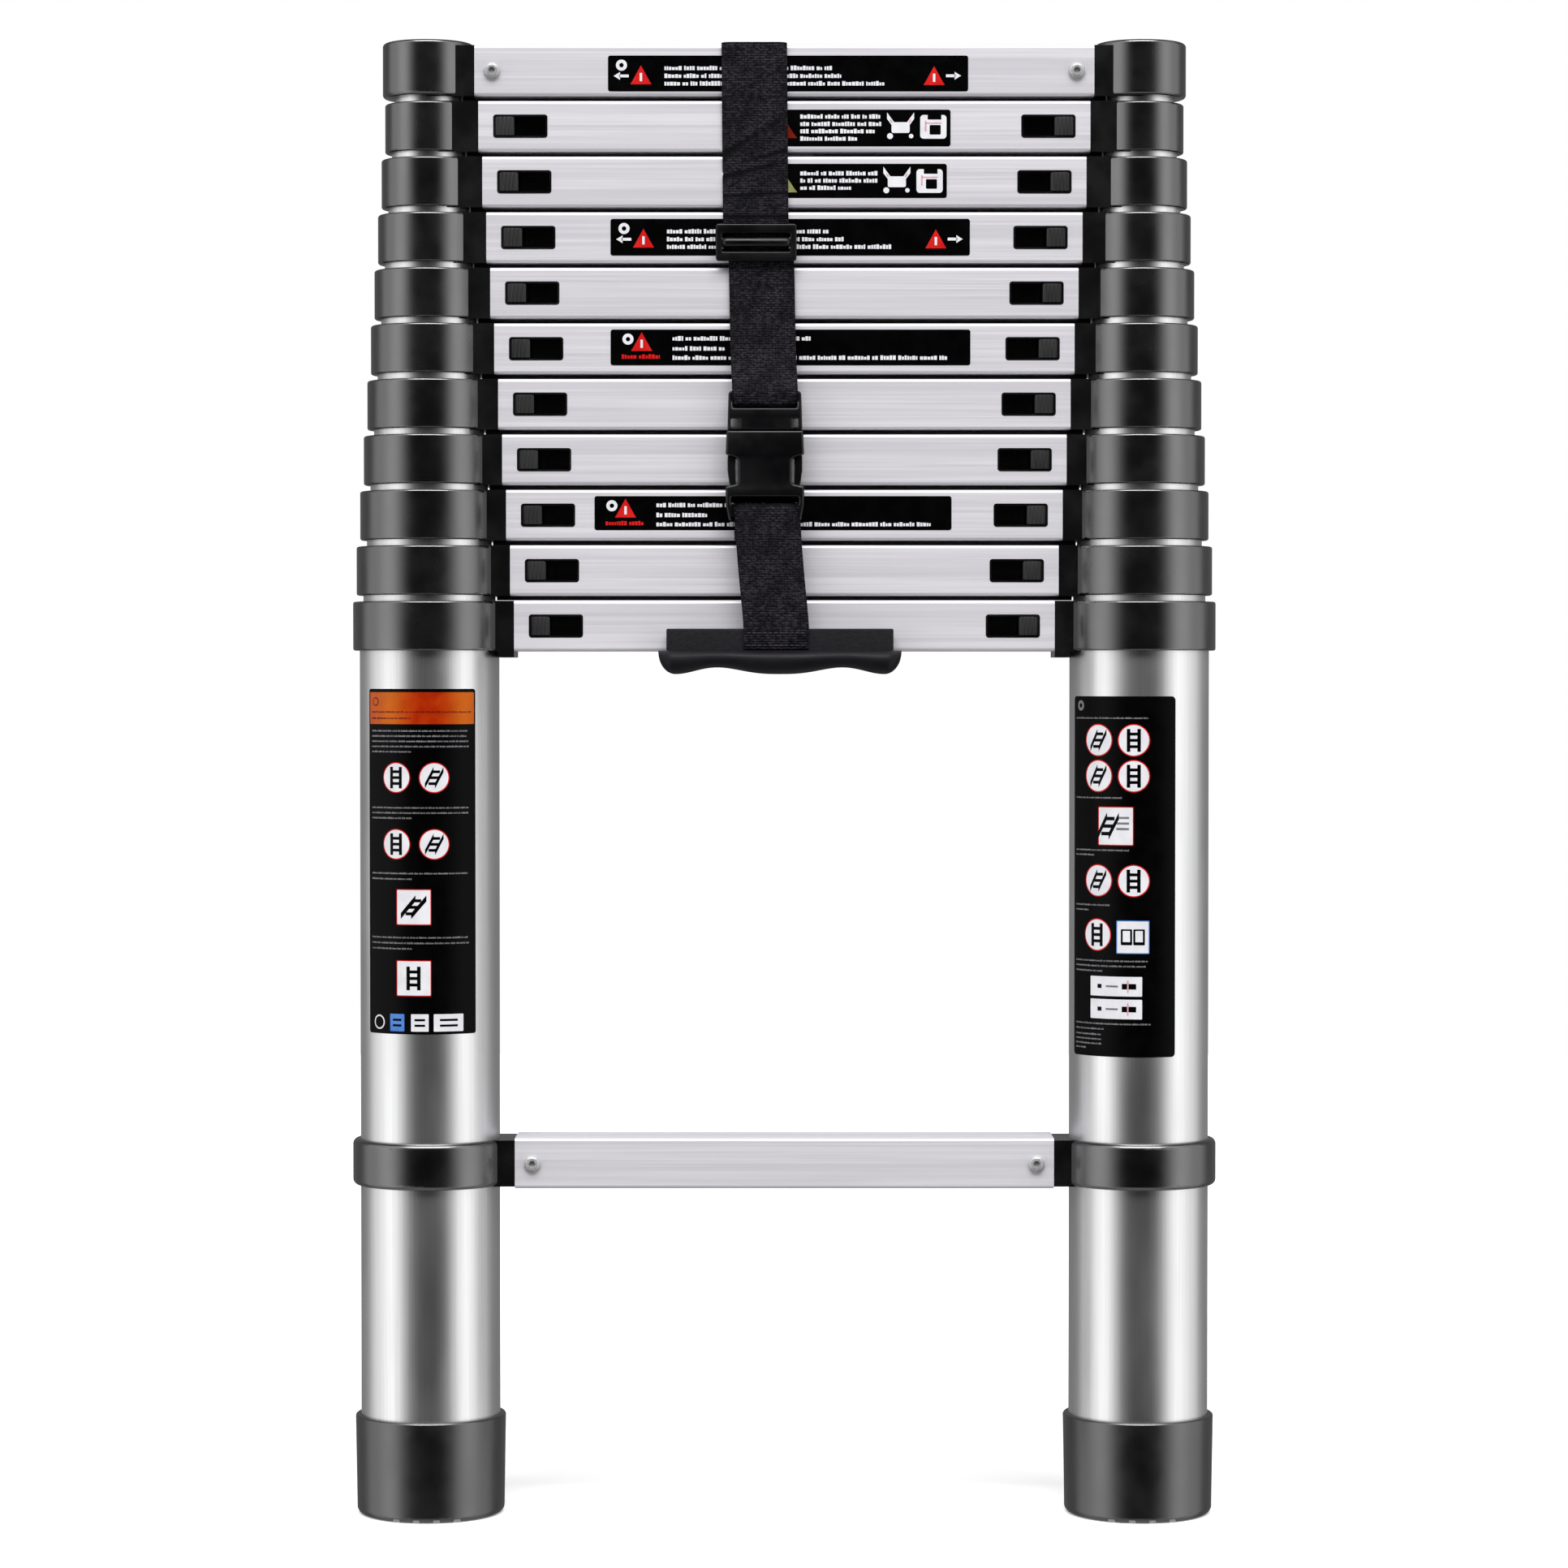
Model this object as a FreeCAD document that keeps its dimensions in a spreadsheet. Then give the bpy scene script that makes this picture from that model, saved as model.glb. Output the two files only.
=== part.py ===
import FreeCAD, Part
import math
import os
import Sketcher
from FreeCAD import Placement, Rotation, Vector

# A telescopic extension ladder, stored closed. Millimetres, +Z up, the origin on the ground midway
# between the two stiles. The ladder's front faces -Y and its left stile is the one at -X.
# Section 1 is the top one and section 11 the base. Each section is two tubes, two collars and a rung,
# and slides up out of the section below it. Thumb buttons in the rungs 2 to 11 draw back the lock pins.

DRIVING_SIZES = {
    # the two stiles
    "stile_offset": 193.7,            # from the ladder's middle to a stile's axis
    "top_tube_radius": 18.0,          # outside radius of the thinnest tube
    "tube_radius_step": 2.0,          # each tube is this much larger in radius than the one above
    "tube_wall": 1.4,
    "tube_above_rung": 9.0,           # from a rung's middle up to its tube's end
    "tube_below_rung": 370.0,         # from a rung's middle down to its tube's end
    "base_tube_bottom": 8.0,          # the base tubes stand on the floors of the feet
    # the rungs
    "base_rung_height": 485.0,        # middle of the base section's upper rung
    "lowest_rung_height": 193.0,      # middle of the rung that is clamped low on the base tubes
    "rung_pitch": 30.0,               # between rungs when closed
    "section_travel": 270.0,          # how far each section rises
    "rung_depth": 38.0,
    "rung_tall": 27.4,
    "rung_wall": 1.6,
    "rung_corner": 1.8,
    "top_rung_reach": 167.5,          # half of the top rung's length
    "rung_reach_step": 2.1,           # each rung reaches this much less than the one above
    "tread_groove_width": 1.4,
    "tread_groove_depth": 0.6,
    "tread_groove_pitch": 3.6,
    "tread_groove_count": 9.0,
    # the collars that join tubes to rungs
    "collar_wall": 3.6,
    "collar_tall": 26.6,
    "collar_edge": 1.2,
    "guide_clearance": 0.4,           # between a collar's lip and the tube that slides in it
    "seat_clearance": 0.05,           # between a collar and the tube that it is fixed on
    "rung_clearance": 0.1,            # between a collar's tongue and the inside of its rung
    "tongue_length": 44.0,
    "cap_radius": 24.8,
    "cap_rise": 16.4,                 # from the top rung's middle to the top of the caps
    "base_arm_drop": 3.3,             # how far the base collars' arms reach below their rung
    "base_arm_drop_length": 11.0,
    "clamp_radius": 42.2,
    "clamp_tall": 25.2,
    "clamp_edge": 3.0,
    "clamp_tongue_length": 26.0,
    # the bushes in the lower ends of the sliding tubes
    "bush_plug_tall": 18.0,
    "bush_rim_tall": 4.0,
    "bush_wall": 3.0,
    "bush_clearance": 0.15,
    # the thumb slots, buttons and lock pins
    "slot_start": 8.0,                # from the rung's end to the slot
    "slot_length": 29.4,
    "slot_tall": 12.6,
    "slot_corner": 1.6,
    "bezel_wall": 0.9,
    "bezel_rise": 0.2,                # how far the bezel stands out of the rung's front
    "chamber_back": 6.0,              # the chamber's rear wall, behind the stile axes
    "button_length": 10.0,
    "button_gap": 0.3,                # around a button in its chamber
    "button_rise": 1.0,               # how far a button stands out of the rung's front
    "button_edge": 0.8,
    "pin_radius": 3.5,
    "pin_clearance": 0.2,
    "pin_tip_gap": 0.25,              # between a pin's tip and the wall of the closed inner tube
    "lock_hole_radius": 4.2,
    # the screws of the top and lowest rungs
    "screw_inset": 9.5,
    "screw_radius": 2.4,
    "screw_length": 15.0,
    "screw_bore_radius": 2.5,
    "screw_head_radius": 4.4,
    "screw_head_tall": 2.6,
    "screw_head_edge": 2.0,
    "screw_socket_radius": 1.9,
    "screw_socket_depth": 1.5,
    # the feet
    "foot_tall": 54.5,
    "foot_floor": 7.9,
    "foot_top_radius": 41.1,
    "foot_bottom_radius": 40.2,
    "foot_bottom_edge": 4.0,
    "foot_top_edge": 1.2,
    "foot_clearance": 0.1,
    "foot_groove_width": 4.0,
    "foot_groove_depth": 2.0,
    "foot_groove_pitch": 11.0,
    "foot_groove_count": 4.0,
    # the carry strap
    "strap_wide": 35.6,
    "strap_thick": 1.5,
    "strap_gap": 0.4,                 # between the webbing and the rungs
    "strap_top_shift": -16.5,         # the strap's middle, over the top rung
    "strap_bottom_shift": -4.4,       # the strap's middle, under the base rung
    "hardware_gap": 0.3,              # between the webbing and what is in front of it
    "handle_shift": -2.4,
    "handle_top": 483.5,
    "handle_seam": 471.7,             # where the handle's plate meets its grip
    "handle_bottom": 458.9,
    "handle_plate_reach": 61.3,
    "handle_plate_deep": 9.0,
    "handle_grip_reach": 65.5,
    "handle_grip_deep": 19.2,
    "handle_edge": 5.0,
    "buckle_shift": -10.5,
    "buckle_reach": 21.2,
    "buckle_bottom": 542.1,
    "buckle_top": 590.3,
    "buckle_deep": 10.0,
    "buckle_edge": 1.8,
    "buckle_cavity_reach": 19.2,
    "buckle_cavity_deep": 5.6,
    "buckle_cavity_bottom": 551.3,
    "buckle_window_bottom": 560.2,
    "buckle_window_top": 577.6,
    "buckle_window_inner": 14.4,
    "tongue_top": 611.6,
    "tongue_reach": 19.6,
    "tongue_gap": 0.4,                # around the tongue in the buckle
    "tongue_prong_bottom": 556.0,
    "tongue_prong_wide": 4.2,
    "tongue_guide_reach": 2.4,
    "tongue_guide_bottom": 566.0,
    "adjuster_shift": -15.2,
    "adjuster_reach": 21.8,
    "adjuster_middle": 691.9,
    "adjuster_half_tall": 8.0,
    "adjuster_deep": 3.6,
    "adjuster_slot_reach": 18.4,
    "adjuster_slot_inner": 2.0,
    "adjuster_slot_outer": 5.4,
}

SECTION_COUNT = 11
BASE = SECTION_COUNT
SLIDING_SECTIONS = range(1, SECTION_COUNT)
LOCKING_SECTIONS = range(2, SECTION_COUNT + 1)
SLOT_CUT_MARGIN = 1.0                 # how far a cutting sketch stands off the face it cuts

doc = FreeCAD.newDocument("ExtensionLadder")
sheet = doc.addObject("Spreadsheet::Sheet", "Dimensions")


class Size:
    """A length worked out from the sheet: the expression that features are bound to, and its value."""

    def __init__(self, text, value):
        self.text = text
        self.value = value

    def combined(self, sign, other, value, swapped=False):
        other_text = other.text if isinstance(other, Size) else repr(float(other))
        first, second = (other_text, self.text) if swapped else (self.text, other_text)
        return Size(f"({first} {sign} {second})", value)

    def __add__(self, other):
        return self.combined("+", other, self.value + number(other))

    __radd__ = __add__

    def __sub__(self, other):
        return self.combined("-", other, self.value - number(other))

    def __rsub__(self, other):
        return self.combined("-", other, number(other) - self.value, swapped=True)

    def __mul__(self, other):
        return self.combined("*", other, self.value * number(other))

    __rmul__ = __mul__

    def __neg__(self):
        return self * -1


def number(size):
    return size.value if isinstance(size, Size) else float(size)


class Sizes:
    """The sheet's cells by name, such as sizes.rung_pitch."""

    def __getattr__(self, name):
        return Size("Dimensions." + name, DRIVING_SIZES[name])


def fill_sheet():
    for row, (name, value) in enumerate(DRIVING_SIZES.items(), start=1):
        sheet.set(f"A{row}", name)
        sheet.set(f"B{row}", str(value))
        sheet.setAlias(f"B{row}", name)
    doc.recompute()


def bind(item, path, size):
    """Binds one property of an object to the sheet."""
    if isinstance(size, Size):
        item.setExpression(path, size.text)
    elif path == "Length":
        item.Length = size


# Sketches, which are held by the sheet's sizes alone


def add_sketch(body, role, name, offset=None):
    """An empty sketch on one of the body's origin planes, moved along that plane's normal."""
    sketch = body.newObject("Sketcher::SketchObject", name)
    plane = next(f for f in body.Origin.OriginFeatures if f.Role == role)
    sketch.AttachmentSupport = [(plane, "")]
    sketch.MapMode = "FlatFace"
    if offset is not None:
        sketch.setExpression("AttachmentOffset.Base.z", offset.text)
    return sketch


def pin_point(sketch, geometry, point, axis, size):
    """Holds one coordinate of a sketch point: on the other axis if it is 0, else at that distance."""
    if abs(number(size)) < 1e-9:
        other_axis = -2 if axis == "X" else -1
        sketch.addConstraint(Sketcher.Constraint("PointOnObject", geometry, point, other_axis))
        return
    rule = Sketcher.Constraint("Distance" + axis, -1, 1, geometry, point, number(size))
    index = sketch.addConstraint(rule)
    if isinstance(size, Size):
        sketch.setExpression(f"Constraints[{index}]", size.text)


def draw_polygon(sketch, corners):
    first = sketch.GeometryCount
    count = len(corners)
    places = [Vector(number(x), number(y), 0) for x, y in corners]
    for i in range(count):
        sketch.addGeometry(Part.LineSegment(places[i], places[(i + 1) % count]), False)
    for i in range(count):
        following = first + (i + 1) % count
        sketch.addConstraint(Sketcher.Constraint("Coincident", first + i, 2, following, 1))
    for i, (x, y) in enumerate(corners):
        pin_point(sketch, first + i, 1, "X", x)
        pin_point(sketch, first + i, 1, "Y", y)


def draw_rectangle(sketch, left, right, low, high):
    draw_polygon(sketch, [(left, low), (right, low), (right, high), (left, high)])


def draw_circle(sketch, x, y, radius):
    centre = Vector(number(x), number(y), 0)
    circle = sketch.addGeometry(Part.Circle(centre, Vector(0, 0, 1), number(radius)), False)
    pin_point(sketch, circle, 3, "X", x)
    pin_point(sketch, circle, 3, "Y", y)
    index = sketch.addConstraint(Sketcher.Constraint("Radius", circle, number(radius)))
    sketch.setExpression(f"Constraints[{index}]", radius.text)


def draw_rounded_rectangle(sketch, left, right, low, high, corner):
    """Four lines joined by four tangent arcs of one radius."""
    x0, x1, y0, y1, r = (number(s) for s in (left, right, low, high, corner))
    first = sketch.GeometryCount
    sides = [
        ((x0 + r, y0), (x1 - r, y0)),
        ((x1, y0 + r), (x1, y1 - r)),
        ((x1 - r, y1), (x0 + r, y1)),
        ((x0, y1 - r), (x0, y0 + r)),
    ]
    centres = [(x1 - r, y0 + r), (x1 - r, y1 - r), (x0 + r, y1 - r), (x0 + r, y0 + r)]
    for start, end in sides:
        sketch.addGeometry(Part.LineSegment(Vector(*start, 0), Vector(*end, 0)), False)
    for turn, centre in enumerate(centres):
        circle = Part.Circle(Vector(*centre, 0), Vector(0, 0, 1), r)
        start_angle = (turn - 1) * math.pi / 2
        arc = Part.ArcOfCircle(circle, start_angle, start_angle + math.pi / 2)
        sketch.addGeometry(arc, False)
    for i in range(4):
        line, arc, following = first + i, first + 4 + i, first + (i + 1) % 4
        sketch.addConstraint(Sketcher.Constraint("Tangent", line, 2, arc, 1))
        sketch.addConstraint(Sketcher.Constraint("Tangent", arc, 2, following, 1))
        sketch.addConstraint(Sketcher.Constraint("Vertical" if i % 2 else "Horizontal", line))
    for i in range(1, 4):
        sketch.addConstraint(Sketcher.Constraint("Equal", first + 4, first + 4 + i))
    index = sketch.addConstraint(Sketcher.Constraint("Radius", first + 4, r))
    sketch.setExpression(f"Constraints[{index}]", corner.text)
    pin_point(sketch, first, 1, "Y", low)
    pin_point(sketch, first + 1, 1, "X", right)
    pin_point(sketch, first + 2, 1, "Y", high)
    pin_point(sketch, first + 3, 1, "X", left)


# Features


def add_body(name):
    return doc.addObject("PartDesign::Body", name)


def pad(body, sketch, length):
    """Adds the sketch's area along its plane's normal."""
    feature = body.newObject("PartDesign::Pad", sketch.Name + "_pad")
    feature.Profile = sketch
    bind(feature, "Length", length)
    return feature


def pocket(body, sketch, length, along_normal=False):
    """Cuts the sketch's area out, against its plane's normal unless along_normal is set."""
    feature = body.newObject("PartDesign::Pocket", sketch.Name + "_pocket")
    feature.Profile = sketch
    feature.Reversed = along_normal
    bind(feature, "Length", length)
    return feature


def revolve(body, sketch):
    """Turns the sketch once round its vertical axis."""
    feature = body.newObject("PartDesign::Revolution", sketch.Name + "_revolution")
    feature.Profile = sketch
    feature.ReferenceAxis = (sketch, ["V_Axis"])
    feature.Angle = 360.0
    return feature


def round_edges(body, base, radius, chosen):
    """Rounds the edges of a feature that chosen() picks."""
    doc.recompute()
    names = [f"Edge{i}" for i, e in enumerate(base.Shape.Edges, start=1) if chosen(e)]
    feature = body.newObject("PartDesign::Fillet", base.Name + "_fillet")
    feature.Base = (base, names)
    bind(feature, "Radius", radius)
    return feature


def repeat_across(body, feature, sketch, pitch, count):
    """Repeats a feature in a row along the sketch's horizontal axis."""
    pattern = body.newObject("PartDesign::LinearPattern", feature.Name + "_row")
    pattern.Originals = [feature]
    pattern.Direction = (sketch, ["H_Axis"])
    pattern.Length = number(pitch) * (number(count) - 1)
    pattern.setExpression("Length", f"{pitch.text} * ({count.text} - 1)")
    pattern.Occurrences = int(number(count))
    pattern.setExpression("Occurrences", count.text)
    body.Tip = pattern
    return pattern


def is_ring(edge, radius):
    """Whether an edge is a full circle of this radius."""
    circle = isinstance(edge.Curve, Part.Circle)
    return circle and edge.isClosed() and abs(edge.Curve.Radius - number(radius)) < 1e-6


def runs_along(edge, direction):
    """Whether an edge is a straight line along this direction."""
    if not isinstance(edge.Curve, Part.Line):
        return False
    return abs(abs(edge.tangentAt(edge.FirstParameter).dot(direction)) - 1) < 1e-6


def put(item, x=None, y=None, z=None):
    """Places an object by the sheet's sizes."""
    for axis, size in (("x", x), ("y", y), ("z", z)):
        if size is not None:
            item.setExpression("Placement.Base." + axis, size.text)


def mirror(item, name):
    """The same piece on the other side of the ladder."""
    copy = doc.addObject("Part::Mirroring", name)
    copy.Source = item
    copy.Normal = (1, 0, 0)
    return copy


def group(name, items):
    together = doc.addObject("Part::Compound", name)
    together.Links = items
    return together


# Sizes that follow from the section's number

sizes = Sizes()


def tube_radius(section):
    return sizes.top_tube_radius + (section - 1) * sizes.tube_radius_step


def rung_height(section):
    return sizes.base_rung_height + (BASE - section) * sizes.rung_pitch


def rung_reach(section):
    return sizes.top_rung_reach - (section - 1) * sizes.rung_reach_step


def arm_length(section):
    """From the stile's axis to the rung's end."""
    return sizes.stile_offset - rung_reach(section)


def tube_bottom(section):
    if section == BASE:
        return sizes.base_tube_bottom
    return rung_height(section) - sizes.tube_below_rung


# The sub-parts


def cut_wall_hole(body, name, height, radius, tube_outside):
    """A round hole through the side of a tube that faces the other stile."""
    sketch = add_sketch(body, "YZ_Plane", name, tube_outside + SLOT_CUT_MARGIN)
    draw_circle(sketch, 0, height, radius)
    return pocket(body, sketch, tube_outside)


def make_tubes(section):
    """A section's two tubes, with a port for its own lock pin and a hole for the one below."""
    name = f"stile_tubes_{section:02d}"
    body = add_body(name + "_left")
    outside = tube_radius(section)
    ring = add_sketch(body, "XY_Plane", name + "_ring")
    draw_circle(ring, 0, 0, outside)
    draw_circle(ring, 0, 0, outside - sizes.tube_wall)
    top = rung_height(section) + sizes.tube_above_rung
    pad(body, ring, top - tube_bottom(section))
    if section in LOCKING_SECTIONS:
        port = rung_height(section) - tube_bottom(section)
        cut_wall_hole(body, name + "_port", port, sizes.lock_hole_radius, outside)
    if section in SLIDING_SECTIONS:
        raised_pin = rung_height(section + 1) - sizes.section_travel
        hole = raised_pin - tube_bottom(section)
        cut_wall_hole(body, name + "_lock_hole", hole, sizes.lock_hole_radius, outside)
    put(body, x=-sizes.stile_offset, z=tube_bottom(section))
    return group(name, [body, mirror(body, name + "_right")])


def add_arm(body, name, reach, tall):
    """The square arm from a ring to the rung's end."""
    arm = add_sketch(body, "XY_Plane", name + "_arm", tall * -0.5)
    draw_rectangle(arm, 0, reach, sizes.rung_depth * -0.5, sizes.rung_depth * 0.5)
    return pad(body, arm, tall)


def add_tongue(body, name, reach, length):
    """The block that fills the inside of the rung's end."""
    half_deep = sizes.rung_depth * 0.5 - sizes.rung_wall - sizes.rung_clearance
    half_tall = sizes.rung_tall * 0.5 - sizes.rung_wall - sizes.rung_clearance
    tongue = add_sketch(body, "YZ_Plane", name + "_tongue", reach)
    draw_rounded_rectangle(
        tongue, -half_deep, half_deep, -half_tall, half_tall, sizes.rung_corner * 0.5
    )
    return pad(body, tongue, length)


def cut_tube_seat(body, name, radius, low, high):
    """The bore that a tube is seated in, from low to high."""
    seat = add_sketch(body, "XY_Plane", name + "_seat", low)
    draw_circle(seat, 0, 0, radius)
    return pocket(body, seat, high - low, along_normal=True)


def cut_screw_bore(body, name, reach):
    """The blind bore for the screw that holds the rung on the tongue."""
    front = sizes.rung_depth * 0.5 + SLOT_CUT_MARGIN
    bore = add_sketch(body, "XZ_Plane", name + "_screw_bore", front)
    draw_circle(bore, reach + sizes.screw_inset, 0, sizes.screw_bore_radius)
    return pocket(body, bore, sizes.screw_length + 2 * SLOT_CUT_MARGIN)


def cut_pin_bore(body, name, start):
    """The bore that the lock pin slides in, from start to the stile's axis."""
    bore = add_sketch(body, "YZ_Plane", name + "_pin_bore", start)
    draw_circle(bore, 0, 0, sizes.pin_radius + sizes.pin_clearance)
    return pocket(body, bore, start)


def make_lock_housing(section):
    """The block in a rung's end that the button slides in. Its bezel fills the rung's slot."""
    name = f"lock_housing_{section:02d}"
    body = add_body(name + "_left")
    reach = arm_length(section)
    add_tongue(body, name, reach, sizes.tongue_length)
    half_deep = sizes.rung_depth * 0.5
    clearance = sizes.rung_clearance
    left = reach + sizes.slot_start + clearance
    right = reach + sizes.slot_start + sizes.slot_length - clearance
    half_tall = sizes.slot_tall * 0.5 - clearance
    root = half_deep - sizes.rung_wall - 2 * clearance
    bezel = add_sketch(body, "XZ_Plane", name + "_bezel", root)
    draw_rounded_rectangle(bezel, left, right, -half_tall, half_tall, sizes.slot_corner)
    pad(body, bezel, half_deep + sizes.bezel_rise - root)

    wall = sizes.bezel_wall
    front = half_deep + SLOT_CUT_MARGIN
    chamber = add_sketch(body, "XZ_Plane", name + "_chamber", front)
    draw_rounded_rectangle(
        chamber, left + wall, right - wall, wall - half_tall, half_tall - wall,
        sizes.slot_corner * 0.5,
    )
    pocket(body, chamber, front + sizes.chamber_back)
    cut_pin_bore(body, name, left + wall + SLOT_CUT_MARGIN)
    put(body, x=-sizes.stile_offset, z=rung_height(section))
    return body


def make_collar(section):
    """The left collar of a section below the top one, about the stile's axis at its rung's middle."""
    name = f"collar_{section:02d}"
    body = add_body(name + "_left")
    outside = tube_radius(section) + sizes.collar_wall
    reach = arm_length(section)
    disc = add_sketch(body, "XY_Plane", name + "_disc", sizes.collar_tall * -0.5)
    draw_circle(disc, 0, 0, outside)
    ring = pad(body, disc, sizes.collar_tall)
    round_edges(body, ring, sizes.collar_edge, lambda edge: is_ring(edge, outside))
    add_arm(body, name, reach, sizes.rung_tall)
    if section == BASE:
        heel = add_sketch(body, "XY_Plane", name + "_heel", sizes.rung_tall * -0.5)
        heel_start = reach - sizes.base_arm_drop_length + 2.5
        draw_rectangle(heel, heel_start, reach, sizes.rung_depth * -0.5, sizes.rung_depth * 0.5)
        heel_pad = pad(body, heel, sizes.base_arm_drop)
        heel_pad.Reversed = True
    seat_radius = tube_radius(section) + sizes.seat_clearance
    low = sizes.rung_tall * -0.5 - sizes.base_arm_drop - SLOT_CUT_MARGIN
    high = sizes.tube_above_rung + sizes.rung_clearance
    cut_tube_seat(body, name, seat_radius, low, high)
    guide_radius = tube_radius(section - 1) + sizes.guide_clearance
    cut_tube_seat(body, name + "_guide", guide_radius, low, sizes.rung_tall)
    cut_pin_bore(body, name, reach + SLOT_CUT_MARGIN)
    put(body, x=-sizes.stile_offset, z=rung_height(section))
    return body


def make_cap():
    """The closed cap on a top tube, which holds the top rung's end."""
    name = "top_cap"
    body = add_body(name + "_left")
    disc = add_sketch(body, "XY_Plane", name + "_disc", sizes.collar_tall * -0.5)
    draw_circle(disc, 0, 0, sizes.cap_radius)
    drum = pad(body, disc, sizes.collar_tall * 0.5 + sizes.cap_rise)
    round_edges(body, drum, sizes.collar_edge * 1.6, lambda edge: is_ring(edge, sizes.cap_radius))
    add_arm(body, name, arm_length(1), sizes.rung_tall)
    add_tongue(body, name, arm_length(1), sizes.clamp_tongue_length)
    low = sizes.rung_tall * -0.5 - SLOT_CUT_MARGIN
    high = sizes.tube_above_rung + sizes.rung_clearance
    cut_tube_seat(body, name, tube_radius(1) + sizes.seat_clearance, low, high)
    cut_screw_bore(body, name, arm_length(1))
    put(body, x=-sizes.stile_offset, z=rung_height(1))
    return body


def make_clamp():
    """The clamp that holds the lowest rung on a base tube."""
    name = "lowest_rung_clamp"
    body = add_body(name + "_left")
    disc = add_sketch(body, "XY_Plane", name + "_disc", sizes.clamp_tall * -0.5)
    draw_circle(disc, 0, 0, sizes.clamp_radius)
    ring = pad(body, disc, sizes.clamp_tall)
    round_edges(body, ring, sizes.clamp_edge, lambda edge: is_ring(edge, sizes.clamp_radius))
    add_arm(body, name, arm_length(BASE), sizes.clamp_tall)
    add_tongue(body, name, arm_length(BASE), sizes.clamp_tongue_length)
    seat_radius = tube_radius(BASE) + sizes.seat_clearance
    cut_tube_seat(body, name, seat_radius, -sizes.clamp_tall, sizes.clamp_tall)
    cut_screw_bore(body, name, arm_length(BASE))
    put(body, x=-sizes.stile_offset, z=sizes.lowest_rung_height)
    return body


def make_bush(section):
    """The bush in a sliding tube's lower end. Its rim rubs on the inside of the tube below."""
    name = f"bush_{section:02d}"
    body = add_body(name + "_left")
    plug_radius = tube_radius(section) - sizes.tube_wall - sizes.seat_clearance
    rim_radius = tube_radius(section + 1) - sizes.tube_wall - sizes.bush_clearance
    hole_radius = plug_radius - sizes.bush_wall
    profile = add_sketch(body, "XZ_Plane", name + "_profile")
    draw_polygon(profile, [
        (hole_radius, -sizes.bush_rim_tall),
        (rim_radius, -sizes.bush_rim_tall),
        (rim_radius, 0),
        (plug_radius, 0),
        (plug_radius, sizes.bush_plug_tall),
        (hole_radius, sizes.bush_plug_tall),
    ])
    revolve(body, profile)
    put(body, x=-sizes.stile_offset, z=tube_bottom(section))
    return body


def make_collar_set(section):
    """A section's plastic fittings: collars or caps, lock housings, and bushes or the low clamps."""
    if section == 1:
        name, pieces = "top_caps_and_bushes", [make_cap()]
    elif section == BASE:
        name, pieces = "base_collars_and_clamps", [make_collar(section)]
    else:
        name, pieces = f"collars_and_bushes_{section:02d}", [make_collar(section)]
    if section in LOCKING_SECTIONS:
        pieces.append(make_lock_housing(section))
    pieces.append(make_clamp() if section == BASE else make_bush(section))
    pair = [mirror(piece, piece.Name.replace("_left", "_right")) for piece in pieces]
    return group(name, pieces + pair)


def make_rung(name, reach, height, slotted):
    """A hollow rung with a grooved tread, and two thumb slots or two screw holes in its front."""
    body = add_body(name)
    half_deep = sizes.rung_depth * 0.5
    half_tall = sizes.rung_tall * 0.5
    wall = sizes.rung_wall
    section = add_sketch(body, "YZ_Plane", name + "_section", -reach)
    draw_rounded_rectangle(
        section, -half_deep, half_deep, -half_tall, half_tall, sizes.rung_corner
    )
    draw_rounded_rectangle(
        section, wall - half_deep, half_deep - wall, wall - half_tall, half_tall - wall,
        sizes.rung_corner * 0.4,
    )
    pad(body, section, 2 * reach)

    groove = add_sketch(body, "YZ_Plane", name + "_tread_groove", -reach - SLOT_CUT_MARGIN)
    row_start = (sizes.tread_groove_count - 1) * sizes.tread_groove_pitch * -0.5
    draw_rectangle(
        groove,
        row_start - sizes.tread_groove_width * 0.5, row_start + sizes.tread_groove_width * 0.5,
        half_tall - sizes.tread_groove_depth, half_tall + SLOT_CUT_MARGIN,
    )
    cut = pocket(body, groove, 2 * reach + 2 * SLOT_CUT_MARGIN, along_normal=True)
    repeat_across(body, cut, groove, sizes.tread_groove_pitch, sizes.tread_groove_count)

    front = half_deep + SLOT_CUT_MARGIN
    opening = add_sketch(body, "XZ_Plane", name + "_opening", front)
    if slotted:
        left = sizes.slot_start - reach
        draw_rounded_rectangle(
            opening, left, left + sizes.slot_length,
            sizes.slot_tall * -0.5, sizes.slot_tall * 0.5, sizes.slot_corner,
        )
    else:
        draw_circle(opening, sizes.screw_inset - reach, 0, sizes.screw_bore_radius)
    hole = pocket(body, opening, wall + 2 * SLOT_CUT_MARGIN)
    mirrored = body.newObject("PartDesign::Mirrored", name + "_opening_pair")
    mirrored.Originals = [hole]
    middle = next(f for f in body.Origin.OriginFeatures if f.Role == "YZ_Plane")
    mirrored.MirrorPlane = (middle, [""])
    body.Tip = mirrored
    put(body, z=height)
    return body


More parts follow.
